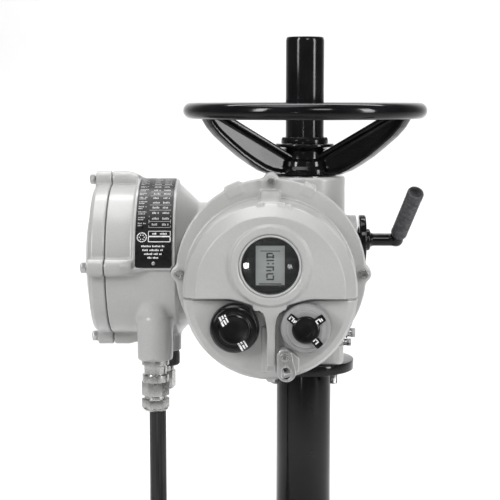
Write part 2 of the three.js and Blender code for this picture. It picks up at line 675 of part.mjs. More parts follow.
function terminalHousing() {
  const body = facingLeft(turned([
    [0, TERMINAL.root],
    [TERMINAL.neck, TERMINAL.root],
    [TERMINAL.neck, TERMINAL.cone],
    [TERMINAL.radius - 2, TERMINAL.body - 1],
    [TERMINAL.radius, TERMINAL.body + 3],
    [TERMINAL.radius, TERMINAL.end],
    [0, TERMINAL.end],
  ], LARGE));
  const lugs = terminalScrews.map(({ y, z }) => {
    return facingLeft(disc(TERMINAL_COVER.lug, TERMINAL_COVER.tail, TERMINAL.end, SMALL)).translate(0, y, z);
  });
  const pad = slab(ringSector(80, PLATE.inner - GAP, -92, 2), PLATE.right - PLATE.border, PLATE.left + 1, 9);
  const outside = join(
    body,
    facingLeft(pad),
    conduitEntry(CABLE_ENTRY),
    conduitEntry(SPARE_ENTRY),
    ...lugs,
  );
  const cavity = facingLeft(turned([
    [0, TERMINAL.root - 1],
    [TERMINAL_WALL.passage, TERMINAL.root - 1],
    [TERMINAL_WALL.passage, TERMINAL.body],
    [TERMINAL_WALL.cavity, TERMINAL.body + 16],
    [TERMINAL_WALL.cavity, TERMINAL.end + 1],
    [0, TERMINAL.end + 1],
  ], LARGE));
  const entries = [CABLE_ENTRY, SPARE_ENTRY].map(({ x, y }) => {
    const low = ENTRY.low - TERMINAL.z;
    return disc(ENTRY.bore, low - 1, -40, MEDIUM).translate(x, y - TERMINAL.y, 0);
  });
  const holes = terminalScrews.map(({ y, z }) => {
    return facingLeft(disc(SCREW.hole, TERMINAL.end - 25, TERMINAL.end + 1, SMALL)).translate(0, y, z);
  });
  return cut(outside, cavity, coverClearance(), ...entries, ...holes);
}

function terminalCover() {
  const { back, edge, front, lug } = TERMINAL_COVER;
  const dome = facingLeft(turned([
    [0, back],
    [TERMINAL.radius, back],
    [TERMINAL.radius, edge - 3],
    [TERMINAL.radius - 3, edge],
    [76, edge + 2],
    [54, front - 3.5],
    [30, front - 0.8],
    [0, front],
  ], LARGE));
  const lugs = terminalScrews.map(({ y, z }) => {
    return facingLeft(disc(lug, back, edge, SMALL)).translate(0, y, z);
  });
  const inside = facingLeft(turned([
    [0, back - 1],
    [TERMINAL_WALL.cavity, back - 1],
    [TERMINAL_WALL.cavity, edge - 7],
    [60, edge - 3],
    [0, front - 7],
  ], LARGE));
  const holes = terminalScrews.map(({ y, z }) => {
    return facingLeft(disc(SCREW.hole, back - 1, edge + 1, SMALL)).translate(0, y, z);
  });
  return cut(join(dome, ...lugs), inside, ...holes);
}

function buildTerminalEnd() {
  const group = groupAt(0, TERMINAL.y, TERMINAL.z);
  add(group, 'terminal_housing', terminalHousing(), GREY_CASTING);
  add(group, 'terminal_cover', terminalCover(), GREY_CASTING);
  const sealLow = TERMINAL.end + GAP;
  const sealHigh = TERMINAL_COVER.back - GAP;
  const seal = facingLeft(ring(TERMINAL_WALL.cavity + 1, TERMINAL.radius - 1, sealLow, sealHigh, LARGE));
  add(group, 'terminal_cover_seal', seal, RUBBER);
  for (const { side, y, z } of terminalScrews) {
    const screw = facingLeft(hexScrew(TERMINAL_COVER.edge + GAP, TERMINAL.end - 22));
    add(group, `terminal_cover_screw_${side}`, screw, STEEL).position.set(0, y, z);
  }
  const { cavity, blockBack, blockFront } = TERMINAL_WALL;
  const blockRadius = cavity - 1;
  add(group, 'terminal_block', facingLeft(disc(blockRadius, blockBack, blockFront, LARGE)), BLACK_MATT);
  const plate = slab(ringSector(PLATE.inner, PLATE.outer, -90, 0), PLATE.right, PLATE.left - 2, 9);
  add(group, 'nameplate', facingLeft(plate), BLACK_MATT);
}

function glandBody() {
  const bore = CABLE.radius + 0.5;
  const { collar, collarHigh, waist, waistHigh } = GLAND_NECK;
  return turned([
    [bore, GLAND.hexLow],
    [GLAND.hexRadius - 1, GLAND.hexLow],
    [GLAND.hexRadius - 1, GLAND.hexHigh],
    [collar, GLAND.hexHigh],
    [collar, collarHigh],
    [waist, collarHigh],
    [waist + 0.5, waistHigh],
    [GLAND.hexRadius, ENTRY.low - GAP],
    [THREAD.radius, ENTRY.low - GAP],
    [THREAD.radius, THREAD.high],
    [bore, THREAD.high],
    [bore, GLAND.hexLow],
  ]);
}

function glandNut() {
  const nut = join(
    disc(GLAND.hexRadius, GLAND.nutLow, GLAND.nutHigh, 6),
    disc(GLAND_NECK.waist, GLAND.nutHigh - 1, GLAND.hexLow - GAP, MEDIUM),
  );
  return cut(nut, disc(CABLE.radius + 0.5, GLAND.nutLow + 2, GLAND.hexLow + 1, MEDIUM));
}

// A straight run of cable, swept down from the gland nut to the floor fitting.
function supplyCable() {
  const section = new THREE.Shape();
  section.absarc(0, 0, CABLE.radius, 0, 2 * Math.PI, false);
  const top = new THREE.Vector3(0, 0, GLAND.nutLow - GAP);
  const bottom = new THREE.Vector3(0, 0, CABLE.low + GAP);
  const options = {
    steps: 3,
    extrudePath: new THREE.LineCurve3(bottom, top),
    curveSegments: CABLE.sides,
    bevelEnabled: false,
  };
  return new THREE.ExtrudeGeometry(section, options);
}

function conduitFitting() {
  return turned([
    [0, 0],
    [CONDUIT.flange, 0],
    [CONDUIT.flange, CONDUIT.flangeHeight],
    [CONDUIT.radius, CONDUIT.flangeHeight + 2],
    [CONDUIT.radius, CONDUIT.shoulder],
    [CONDUIT.mouth, CABLE.low],
    [0, CABLE.low],
  ], MEDIUM);
}

function buildEntries() {
  const gland = groupAt(CABLE_ENTRY.x, CABLE_ENTRY.y, 0);
  add(gland, 'gland_body', glandBody(), STEEL);
  add(gland, 'gland_nut', glandNut(), STEEL);
  const cable = groupAt(CABLE.x, CABLE_ENTRY.y, 0);
  add(cable, 'supply_cable', supplyCable(), RUBBER);
  add(cable, 'conduit_fitting', conduitFitting(), STEEL);
  const spare = groupAt(SPARE_ENTRY.x, SPARE_ENTRY.y, 0);
  const { radius, low, plugRadius, plugLow, plugHigh, stem } = BLANKING;
  const thread = disc(THREAD.radius, ENTRY.low - 10, ENTRY.low + 16, MEDIUM);
  add(spare, 'blanking_adaptor', join(disc(radius, low, ENTRY.low - GAP, MEDIUM), thread), BLACK_MATT);
  const plugHead = disc(plugRadius, plugLow, plugHigh, 6);
  add(spare, 'blanking_plug', join(plugHead, disc(stem, plugHigh - 1, low - GAP, SMALL)), STEEL);
}

function handwheelHub(extra) {
  return turned([
    [0, HUB.low - extra],
    [HUB.radius + extra, HUB.low - extra],
    [HUB.radius + extra, HUB.shoulder],
    [HUB.waist + extra, HUB.shoulder + 2],
    [HUB.waist + extra, HUB.ledgeLow - 4],
    [HUB.ledge + extra, HUB.ledgeLow - extra],
    [HUB.ledge + extra, HUB.top + extra],
    [0, HUB.top + extra],
  ], WHEEL_SIDES);
}

function rimGeometry(extra) {
  const profile = [];
  const steps = 10;
  for (let i = 0; i <= steps; i += 1) {
    const angle = 2 * Math.PI * (i % steps) / steps;
    const reach = RIM.tube + extra;
    profile.push([RIM.radius + reach * Math.cos(angle), RIM.z + reach * Math.sin(angle)]);
  }
  return turned(profile, WHEEL_SIDES);
}

// One I-section spoke in the plane of +X, with a curved lower edge that sweeps up to the rim.
function spoke() {
  const lower = new THREE.SplineCurve([
    new THREE.Vector2(26, 457.5),
    new THREE.Vector2(40, 457.5),
    new THREE.Vector2(60, 462),
    new THREE.Vector2(91.5, 481),
    new THREE.Vector2(122, 505.4),
    new THREE.Vector2(139, 527),
  ]);
  const low = lower.getPoints(10);
  const upperFrom = new THREE.Vector2(20, 480);
  const upperTo = new THREE.Vector2(132, 541.5);
  const web = new THREE.Shape([...low, upperTo, upperFrom]);
  const strip = new THREE.Vector2(0, SPOKE.flangeHeight);
  const lowFlange = new THREE.Shape([...low, ...low.map((point) => point.clone().add(strip)).reverse()]);
  const topFlange = new THREE.Shape([
    upperFrom,
    upperFrom.clone().sub(strip),
    upperTo.clone().sub(strip),
    upperTo,
  ]);
  const standing = (shape, width) => slab(shape, -width / 2, width / 2).rotateX(Math.PI / 2);
  const body = join(
    standing(web, SPOKE.web),
    standing(lowFlange, SPOKE.flange),
    standing(topFlange, SPOKE.flange),
  );
  return cut(body, handwheelHub(GAP), rimGeometry(GAP), disc(HUB.waist + GAP, HUB.low, HUB.top, WHEEL_SIDES));
}

function stemCover() {
  const inner = STEM_COVER.radius - STEM_COVER.wall;
  const low = HUB.top + GAP;
  return turned([
    [inner, low],
    [STEM_COVER.radius, low],
    [STEM_COVER.radius, STEM_COVER.top - 1.5],
    [STEM_COVER.radius - 1.5, STEM_COVER.top],
    [0, STEM_COVER.top],
    [0, STEM_COVER.top - 4],
    [inner, STEM_COVER.top - 4],
    [inner, low],
  ], MEDIUM);
}

function buildHandwheel() {
  const sleeveRoom = disc(SLEEVE.radius + GAP, HUB.low - 1, SLEEVE.high + GAP, LARGE);
  const stemRoom = disc(SLEEVE.bore, HUB.low, HUB.top + 1, MEDIUM);
  add(actuator, 'handwheel_hub', cut(handwheelHub(0), sleeveRoom, stemRoom), BLACK_GLOSS);
  add(actuator, 'handwheel_rim', rimGeometry(0), BLACK_GLOSS);
  SPOKE.turns.forEach((angle, i) => {
    add(actuator, `handwheel_spoke_${i + 1}`, spoke(), BLACK_GLOSS).rotation.z = radians(angle);
  });
  add(actuator, 'stem_cover_tube', stemCover(), BLACK_GLOSS);
  const collar = ring(STEM_COVER.radius + GAP, STEM_COVER.collar, HUB.top + GAP, STEM_COVER.collarTop, MEDIUM);
  add(actuator, 'stem_cover_collar', collar, BLACK_GLOSS);
}

// A turned piece laid from the elbow along the grip.
function alongGrip(geometry) {
  const turn = new THREE.Quaternion();
  turn.setFromUnitVectors(new THREE.Vector3(0, 0, 1), GRIP.rise.clone().normalize());
  return geometry.applyQuaternion(turn).translate(LEVER.elbow, 0, 0);
}

function leverArm() {
  const plate = facingRight(turned([
    [0, LEVER.face - 16],
    [LEVER.rod, LEVER.face - 16],
    [LEVER.rod, LEVER.disc],
    [LEVER.boss, LEVER.disc],
    [LEVER.boss, LEVER.discEnd - 1.5],
    [LEVER.boss - 1.5, LEVER.discEnd],
    [0, LEVER.discEnd],
  ], MEDIUM));
  const rod = facingRight(disc(LEVER.rod, LEVER.discEnd - 1, LEVER.elbow, SMALL));
  const elbow = new THREE.SphereGeometry(LEVER.rod, SMALL, 10).translate(LEVER.elbow, 0, 0);
  const core = alongGrip(disc(GRIP.core, 0, GRIP.rise.length() - 8, SMALL));
  return join(plate, rod, elbow, core);
}

function leverGrip() {
  const length = GRIP.rise.length();
  const start = LEVER.rod + 2;
  const core = GRIP.core + GAP;
  return alongGrip(turned([
    [core, start],
    [GRIP.radius - 1, start],
    [GRIP.radius, start + 2],
    [GRIP.radius, length - 2],
    [GRIP.radius - 2, length],
    [0, length],
    [0, length - 7],
    [core, length - 7],
    [core, start],
  ], SMALL));
}

function buildLever() {
  const lever = groupAt(0, LEVER.y, LEVER.z);
  add(lever, 'lever_arm', leverArm(), BLACK_GLOSS);
  add(lever, 'lever_grip', leverGrip(), BLACK_MATT);
}

buildColumn();
buildGearcase();
buildDriveTrain();
buildMotor();
buildControls();
buildTerminalEnd();
buildEntries();
buildHandwheel();
buildLever();

export default actuator;
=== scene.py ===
import json
import math

import bmesh
import bpy
import numpy as np
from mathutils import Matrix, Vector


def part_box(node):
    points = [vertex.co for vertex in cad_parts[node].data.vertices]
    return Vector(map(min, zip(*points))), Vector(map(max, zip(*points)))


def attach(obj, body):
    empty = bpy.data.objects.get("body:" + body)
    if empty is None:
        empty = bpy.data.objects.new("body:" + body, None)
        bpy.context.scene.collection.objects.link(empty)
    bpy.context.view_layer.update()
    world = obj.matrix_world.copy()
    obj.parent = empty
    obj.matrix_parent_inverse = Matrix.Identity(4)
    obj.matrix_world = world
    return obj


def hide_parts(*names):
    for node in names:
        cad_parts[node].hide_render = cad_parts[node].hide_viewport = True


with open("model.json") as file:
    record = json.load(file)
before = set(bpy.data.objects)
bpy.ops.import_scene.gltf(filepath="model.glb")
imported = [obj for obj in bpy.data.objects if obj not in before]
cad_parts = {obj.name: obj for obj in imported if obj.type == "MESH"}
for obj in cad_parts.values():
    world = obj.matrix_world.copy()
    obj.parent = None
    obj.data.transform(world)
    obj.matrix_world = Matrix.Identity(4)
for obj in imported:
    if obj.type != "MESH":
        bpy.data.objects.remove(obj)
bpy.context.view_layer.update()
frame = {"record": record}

# A motorized valve actuator on its column. Shapes are worked out in millimetres and stored in metres.
MM = 0.001
UP, FRONT, BACK, LEFT, RIGHT = "up", "front", "back", "left", "right"
X, Y, Z = 0, 1, 2


def box_mm(node):
    low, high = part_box(node)
    return np.array(low) / MM, np.array(high) / MM


def middle(node):
    low, high = box_mm(node)
    return (low + high) / 2


def polar(radius, degrees):
    angle = math.radians(degrees)
    return radius * math.cos(angle), radius * math.sin(angle)


def add_object(name, data):
    thing = bpy.data.objects.new(name, data)
    bpy.context.scene.collection.objects.link(thing)
    return thing


def joint_at(name):
    joints = frame["record"]["behaviour"]["joints"]
    found = next(joint for joint in joints if joint["name"] == name)
    return np.array(found["pos_m"]) / MM

# ---------------------------------------------------------------- camera

CAMERA_AT = (-0.045, -1.650, 0.550)
CAMERA_PITCH = 6.48
CAMERA_YAW = 0.78
LENS = 95.9


def add_camera():
    data = bpy.data.cameras.new("camera")
    data.lens = LENS
    data.clip_end = 20
    camera = add_object("camera", data)
    camera.location = CAMERA_AT
    camera.rotation_euler = (math.radians(90 - CAMERA_PITCH), 0, math.radians(CAMERA_YAW))
    bpy.context.scene.camera = camera


add_camera()

# ---------------------------------------------------------------- anchors in the frame, in mm

ring_at = middle("control_cover_seal")
glass_at = middle("window_glass")
mode_at = middle("mode_knob")
command_at = middle("command_knob")
bell_at = np.array([glass_at[X], 0, mode_at[Z] + 39.9])
terminal_at = middle("terminal_cover_seal")
motor_at = middle("motor_stator")
gland_at = middle("gland_body")
spare_at = middle("blanking_adaptor")
cable_low, cable_high = box_mm("supply_cable")
cable_at = (cable_low + cable_high) / 2
lever_at = joint_at("lever_press")
tab_at = joint_at("lock_tab_swing")

# ---------------------------------------------------------------- materials


class Paper:
    """A material's node tree, with short calls for the nodes that its finish needs."""

    def __init__(self, name, colour, roughness, metallic=0.0):
        self.material = bpy.data.materials.new(name)
        self.material.use_nodes = True
        self.nodes = self.material.node_tree.nodes
        self.links = self.material.node_tree.links
        self.shader = self.nodes["Principled BSDF"]
        self.shader.inputs["Base Color"].default_value = (*colour, 1)
        self.shader.inputs["Roughness"].default_value = roughness
        self.shader.inputs["Metallic"].default_value = metallic
        self.place = self.nodes.new("ShaderNodeTexCoord").outputs["Object"]
        self.height = None

    def noise(self, scale, detail=3.0, stretch=None):
        texture = self.nodes.new("ShaderNodeTexNoise")
        texture.inputs["Scale"].default_value = scale
        texture.inputs["Detail"].default_value = detail
        place = self.place
        if stretch is not None:
            mapping = self.nodes.new("ShaderNodeMapping")
            mapping.inputs["Scale"].default_value = stretch
            self.links.new(place, mapping.inputs["Vector"])
            place = mapping.outputs["Vector"]
        self.links.new(place, texture.inputs["Vector"])
        return texture.outputs["Fac"]

    def spread(self, value, low, high, start=0.3, end=0.7):
        ranged = self.nodes.new("ShaderNodeMapRange")
        ranged.inputs["From Min"].default_value = start
        ranged.inputs["From Max"].default_value = end
        ranged.inputs["To Min"].default_value = low
        ranged.inputs["To Max"].default_value = high
        self.links.new(value, ranged.inputs["Value"])
        return ranged.outputs["Result"]

    def mix(self, factor, first, second):
        mixer = self.nodes.new("ShaderNodeMix")
        mixer.data_type = "RGBA"
        self.links.new(factor, mixer.inputs["Factor"])
        for socket, colour in (("A", first), ("B", second)):
            target = next(i for i in mixer.inputs if i.name == socket and i.type == "RGBA")
            if isinstance(colour, tuple):
                target.default_value = (*colour, 1)
            else:
                self.links.new(colour, target)
        return next(o for o in mixer.outputs if o.type == "RGBA")

    def colour(self, value):
        self.links.new(value, self.shader.inputs["Base Color"])

    def roughness(self, value):
        self.links.new(value, self.shader.inputs["Roughness"])

    def bump(self, value, strength, depth):
        node = self.nodes.new("ShaderNodeBump")
        node.inputs["Strength"].default_value = strength
        node.inputs["Distance"].default_value = depth
        self.links.new(value, node.inputs["Height"])
        if self.height is not None:
            self.links.new(self.height, node.inputs["Normal"])
        self.height = node.outputs["Normal"]
        self.links.new(self.height, self.shader.inputs["Normal"])

    # Pointiness mask of convex edges; the casting paint lightens them partly as wear and partly as a painted
    # highlight.
    def edges(self, start=0.52, end=0.6):
        geometry = self.nodes.new("ShaderNodeNewGeometry")
        return self.spread(geometry.outputs["Pointiness"], 0.0, 1.0, start, end)


def casting_paint():
    """Light grey powder coat over a sand casting: faint orange peel, mottling, and convex edges lightened
    partly as rubbed paint and partly as a painted highlight.
    """
    paper = Paper("casting_paint", (0.40, 0.40, 0.395), 0.42)
    broad = paper.mix(paper.spread(paper.noise(9), 0, 1), (0.375, 0.375, 0.37), (0.42, 0.42, 0.415))
    fine = paper.mix(paper.spread(paper.noise(420, 2), 0, 0.35), broad, (0.34, 0.34, 0.335))
    # edges lighter by pointiness: partly rubbed paint, partly a painted highlight on rounded edges
    paper.colour(paper.mix(paper.edges(0.53, 0.62), fine, (0.55, 0.55, 0.54)))
    paper.roughness(paper.spread(paper.noise(60), 0.29, 0.40))
    paper.bump(paper.noise(700, 2), 0.12, 0.0003)
    paper.bump(paper.noise(140, 3), 0.10, 0.0006)
    paper.shader.inputs["Coat Weight"].default_value = 0.3
    paper.shader.inputs["Coat Roughness"].default_value = 0.2
    return paper.material


def finish(name, base, roughness, metallic=0.0, grain=None, tint=None, gloss=None, bump=None, inputs=()):
    """A material. A noise scale starts its tint (then two colours), its gloss (then the least and the most
    roughness) and its bump (then strength and depth in metres); None there means the shared grain."""
    paper = Paper(name, base, roughness, metallic)
    shared = paper.noise(*grain) if grain else None

    def texture(scale, detail=3.0):
        return shared if scale is None else paper.noise(scale, detail)

    if tint:
        paper.colour(paper.mix(paper.spread(texture(tint[0]), 0, 1), *tint[1:]))
    if gloss:
        paper.roughness(paper.spread(texture(gloss[0]), *gloss[1:]))
    if bump:
        paper.bump(texture(bump[0], 2), *bump[1:])
    for socket, value in inputs:
        paper.shader.inputs[socket].default_value = value
    return paper.material


FINISHES = {
    "grey_casting": casting_paint(),
    # gloss black enamel with a soft peel
    "black_paint": finish("black_enamel", (0.004, 0.004, 0.0045), 0.12, gloss=(45, 0.08, 0.16),
                          tint=(30, (0.003, 0.003, 0.0035), (0.008, 0.008, 0.009)),
                          bump=(260, 0.08, 0.0004), inputs=[("Specular IOR Level", 0.28)]),
    # black moulded plastic with a fine spark-eroded grain
    "black_plastic": finish("black_plastic", (0.012, 0.012, 0.013), 0.5, gloss=(300, 0.4, 0.6),
                            tint=(80, (0.010, 0.010, 0.011), (0.018, 0.018, 0.019)),
                            bump=(1500, 0.25, 0.0002)),
    # glossy black moulding, lightly scuffed
    "knob_black": finish("knob_black", (0.004, 0.004, 0.0045), 0.14, gloss=(110, 0.09, 0.24),
                         bump=(900, 0.06, 0.0002), inputs=[("Specular IOR Level", 0.35)]),
    # dark grey moulding with a satin face
    "knob_grey": finish("knob_grey", (0.24, 0.24, 0.24), 0.34, gloss=(200, 0.3, 0.45),
                        tint=(70, (0.22, 0.22, 0.22), (0.27, 0.27, 0.27)), bump=(1100, 0.12, 0.0002)),
    # soft dark grip with a pebbled skin
    "grip_rubber": finish("grip_rubber", (0.045, 0.045, 0.048), 0.6, gloss=(220, 0.5, 0.75),
                          tint=(160, (0.03, 0.03, 0.032), (0.075, 0.075, 0.08)), bump=(850, 0.5, 0.0005)),
    # zinc plate, cloudy, with a fine grain
    "plated_steel": finish("plated_steel", (0.42, 0.42, 0.415), 0.32, 1.0, gloss=(260, 0.25, 0.38),
                           tint=(150, (0.38, 0.38, 0.375), (0.50, 0.50, 0.495)), bump=(1800, 0.10, 0.0002)),
    # nickel plate over machined brass, a little smeared
    "nickel_brass": finish("nickel_brass", (0.44, 0.44, 0.43), 0.27, 1.0, gloss=(180, 0.23, 0.31),
                           tint=(110, (0.41, 0.41, 0.40), (0.48, 0.48, 0.47)), bump=(1500, 0.03, 0.0001)),
    # cut stainless sheet, grained along its length
    "stainless": finish("stainless", (0.52, 0.52, 0.515), 0.34, 1.0, grain=(300, 2, (8, 1, 0.4)),
                        gloss=(None, 0.28, 0.44), tint=(None, (0.46, 0.46, 0.455), (0.60, 0.60, 0.595)),
                        bump=(None, 0.08, 0.0002)),
    # machined bronze, browned in patches
    "gear_bronze": finish("gear_bronze", (0.55, 0.36, 0.17), 0.35, 1.0, gloss=(200, 0.25, 0.5),
                          tint=(60, (0.42, 0.26, 0.12), (0.62, 0.42, 0.20)), bump=(900, 0.1, 0.0002)),
    # varnished copper wire, streaked like fine turns
    "winding_copper": finish("winding_copper", (0.42, 0.17, 0.07), 0.35, 0.7, grain=(240, 2, (1, 9, 1)),
                             gloss=(None, 0.25, 0.5), tint=(None, (0.28, 0.10, 0.04), (0.55, 0.25, 0.11)),
                             bump=(None, 0.5, 0.0006)),
    # matt black nitrile
    "seal_rubber": finish("seal_rubber", (0.09, 0.09, 0.09), 0.75, gloss=(200, 0.65, 0.85),
                          bump=(900, 0.2, 0.0002)),
    # black extruded sheath, with lighter streaks along its length painted in as reflections
    "cable_sheath": finish("cable_sheath", (0.014, 0.014, 0.015), 0.42, grain=(260, 2, (1, 1, 0.03)),
                           gloss=(None, 0.3, 0.5), tint=(None, (0.003, 0.003, 0.0035), (0.034, 0.034, 0.035)),
                           bump=(None, 0.5, 0.0008), inputs=[("Specular IOR Level", 0.22)]),
    # etched black anodised plate
    "label": finish("label_black", (0.005, 0.005, 0.0055), 0.32, gloss=(300, 0.25, 0.4),
                    bump=(1600, 0.05, 0.0001), inputs=[("Specular IOR Level", 0.3)]),
    # green solder mask, faintly mottled
    "circuit_board": finish("circuit_board", (0.015, 0.11, 0.05), 0.4, grain=(900, 1),
                            tint=(None, (0.010, 0.09, 0.04), (0.02, 0.15, 0.07)), bump=(None, 0.15, 0.0001)),
    # lit liquid crystal panel, a soft grey with faint mottling
    "screen": finish("screen_grey", (0.42, 0.43, 0.42), 0.3,
                     tint=(60, (0.38, 0.39, 0.38), (0.46, 0.47, 0.46)),
                     inputs=[("Emission Color", (0.75, 0.77, 0.75, 1)), ("Emission Strength", 0.16)]),
    # clear toughened glass, faintly smeared
    "glass": finish("window_glass", (0.93, 0.95, 0.95), 0.03, gloss=(40, 0.0, 0.05),
                    inputs=[("Transmission Weight", 1.0), ("IOR", 1.5)]),
}
# white print, slightly worn; bare metal where the plate's black is etched away; dark display segments
WHITE_PRINT = finish("label_white", (0.8, 0.8, 0.8), 0.5,
                     tint=(500, (0.66, 0.66, 0.66), (0.85, 0.85, 0.85)))
ETCHED_PRINT = finish("etched_print", (0.4, 0.4, 0.4), 0.45,
                      tint=(400, (0.30, 0.30, 0.30), (0.46, 0.46, 0.46)))
DARK_PRINT = finish("dark_print", (0.05, 0.055, 0.05), 0.4,
                    tint=(700, (0.04, 0.045, 0.04), (0.08, 0.085, 0.08)))

# ---------------------------------------------------------------- meshes from turned and flat shapes

TURNS = {
    UP: np.eye(3),
    FRONT: np.array([[1, 0, 0], [0, 0, -1], [0, 1, 0]]),
    BACK: np.array([[1, 0, 0], [0, 0, 1], [0, -1, 0]]),
    LEFT: np.array([[0, 0, -1], [0, 1, 0], [1, 0, 0]]),
    RIGHT: np.array([[0, 0, 1], [0, 1, 0], [-1, 0, 0]]),
}


def turn_of(facing):
    """The turn that takes a shape made along Z to the way it faces, given by name or as a matrix."""
    return TURNS[facing] if isinstance(facing, str) else facing


def spun(degrees):
    """A turn about Z."""
    c, s = polar(1, degrees)
    return np.array([[c, -s, 0], [s, c, 0], [0, 0, 1]])


def flat_turn(degrees):
    """A turn for rows of flat points, which stand on its left."""
    c, s = polar(1, degrees)
    return np.array([[c, s], [-s, c]])


def rounded(points, corner, steps=4, closed=False):
    """The points with each corner, but not a line's ends, turned into an arc of up to that radius.

    A point may give a corner radius of its own as its third number."""
    corners = [p[2] if len(p) > 2 else corner for p in points]
    points = [np.array(p[:2], float) for p in points]
    count = len(points)
    found = []
    for i, here in enumerate(points):
        if not closed and i in (0, count - 1):
            found.append(here)
            continue
        back = points[i - 1] - here
        ahead = points[(i + 1) % count] - here
        back_length, ahead_length = np.linalg.norm(back), np.linalg.norm(ahead)
        back, ahead = back / back_length, ahead / ahead_length
        angle = math.acos(np.clip(back @ ahead, -1, 1))
        if angle > math.radians(176) or angle < math.radians(4):
            found.append(here)
            continue
        reach = min(corners[i] / math.tan(angle / 2), 0.45 * back_length, 0.45 * ahead_length)
        for k in range(steps + 1):
            share = k / steps
            start, end = here + back * reach * (1 - share), here + ahead * reach * share
            found.append(start * (1 - share) + end * share)
    return found


def mesh_object(name, vertices, faces, sharp=35):
    mesh = bpy.data.meshes.new(name)
    mesh.from_pydata((np.asarray(vertices, float) * MM).tolist(), [], faces)
    mesh.validate()
    mesh.update()
    edit = bmesh.new()
    edit.from_mesh(mesh)
    bmesh.ops.remove_doubles(edit, verts=edit.verts, dist=2e-6)
    bmesh.ops.recalc_face_normals(edit, faces=edit.faces)
    edit.to_mesh(mesh)
    edit.free()
    mesh.shade_smooth()
    mesh.set_sharp_from_angle(angle=math.radians(sharp))
    return add_object(name, mesh)


def turned_shape(profile, sides=96, closed=False):
    """Vertices and faces of a profile of (radius, height) points turned about Z."""
    profile = np.array(profile)
    count = len(profile)
    angles = np.linspace(0, 2 * math.pi, sides, endpoint=False)
    ring = np.stack([np.cos(angles), np.sin(angles)], 1)
    vertices = [(r * c, r * s, z) for c, s in ring for r, z in profile]
    spans = count if closed else count - 1
    faces = []
    for i in range(sides):
        for j in range(spans):
            a, b = i * count + j, i * count + (j + 1) % count
            c, d = ((i + 1) % sides) * count + (j + 1) % count, ((i + 1) % sides) * count + j
            faces.append((a, d, c, b))
    return np.array(vertices), faces


def arc(centre, radius, start, end, steps=12):
    angles = np.radians(np.linspace(start, end, steps + 1))
    return [(centre[0] + radius * math.cos(a), centre[1] + radius * math.sin(a)) for a in angles]


def circle(centre, radius, steps=48):
    return arc(centre, radius, 0, 360, steps)[:-1]


def flat_shape(loops, low, high, bevel=0.4):
    """Vertices and faces of a plate with an outline, holes and rounded edges, from low to high in Z."""
    curve = bpy.data.curves.new("outline", "CURVE")
    curve.dimensions = "2D"
    curve.fill_mode = "BOTH"
    for loop in loops:
        spline = curve.splines.new("POLY")
        spline.points.add(len(loop) - 1)
        for point, (x, y) in zip(spline.points, loop):
            point.co = (x, y, 0, 1)
        spline.use_cyclic_u = True
    curve.extrude = (high - low) / 2 - bevel
    curve.bevel_depth = bevel
    curve.bevel_resolution = 2
    curve.offset = -bevel
    maker = add_object("outline", curve)
    mesh = bpy.data.meshes.new_from_object(maker.evaluated_get(bpy.context.evaluated_depsgraph_get()))
    vertices = np.array([v.co for v in mesh.vertices]) + np.array([0, 0, (low + high) / 2])
    faces = [tuple(p.vertices) for p in mesh.polygons]
    bpy.data.objects.remove(maker)
    bpy.data.curves.remove(curve)
    bpy.data.meshes.remove(mesh)
    return vertices, faces


def dress(thing, slot, body="housing", stands_for=()):
    """Gives a piece its finish and its body, and hides the CAD nodes that it stands for."""
    if not thing.data.materials:
        thing.data.materials.append(FINISHES[slot])
    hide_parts(*stands_for)
    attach(thing, body)
    return thing

# ---------------------------------------------------------------- shapes that are turned, cut flat or swept


def lathe(points, at=(0, 0, 0), facing=UP, corner=0.8, sides=96, closed=False, steps=4):
    vertices, faces = turned_shape(rounded(points, corner, steps, closed), sides, closed)
    return vertices @ turn_of(facing).T + np.asarray(at, float), faces


def plate(loops, low, high, at=(0, 0, 0), facing=UP, bevel=0.4):
    vertices, faces = flat_shape(loops, low, high, bevel)
    return vertices @ turn_of(facing).T + np.asarray(at, float), faces


def ring_shape(inner, outer, low, high, at=(0, 0, 0), facing=UP, corner=0.8, sides=96):
    return lathe([(inner, low), (outer, low), (outer, high), (inner, high)], at, facing, corner, sides, True)


def ball(radius, at, sides=24):
    return lathe([polar(radius, a) for a in range(-90, 91, 15)], at, UP, 0, sides)


def piece(name, slot, body, nodes, *shapes, marks=(), sharp=35):
    """One object made of several shapes; marks are (finish, shapes) in finishes of their own."""
    vertices, faces, finish = [], [], []
    start = 0
    for number, group in enumerate((shapes, *(more for _, more in marks))):
        for points, polygons in group:
            vertices.append(points)
            faces.extend(tuple(start + i for i in face) for face in polygons)
            finish.extend([number] * len(polygons))
            start += len(points)
    thing = mesh_object(name, np.concatenate(vertices), faces, sharp)
    for material in (FINISHES[slot], *(finish_of for finish_of, _ in marks)):
        thing.data.materials.append(material)
    thing.data.polygons.foreach_set("material_index", np.array(finish, np.int32))
    return dress(thing, slot, body, nodes)


def hex_loop(radius, turn=0):
    return [polar(radius, 60 * k + turn) for k in range(6)]


def box_loop(x, y, width, height, corner=0.0):
    left, right, low, high = x - width / 2, x + width / 2, y - height / 2, y + height / 2
    loop = [(left, low), (right, low), (right, high), (left, high)]
    return rounded(loop, corner, 4, True) if corner else loop


def threaded(radius, low, high, pitch=1.5, depth=0.45):
    """Profile of a threaded shank, from its tip on the axis up to the head."""
    points = [(0, low), (radius - 2 * depth, low)]
    for k in range(int((high - low) / pitch)):
        z = low + k * pitch
        points += [(radius - depth, z + 0.25 * pitch), (radius, z + 0.6 * pitch)]
    return points + [(radius, high)]

# ---------------------------------------------------------------- supply cable, held straight down

CABLE_RADIUS = 10.0
CABLE_FLUTES, FLUTE_DEPTH = 11, 0.35


def cable_route():
    """The straight route from the gland nut down to the floor fitting."""
    heights = np.linspace(cable_high[Z], cable_low[Z], 16)
    return [(cable_at[X], cable_at[Y], z) for z in heights]


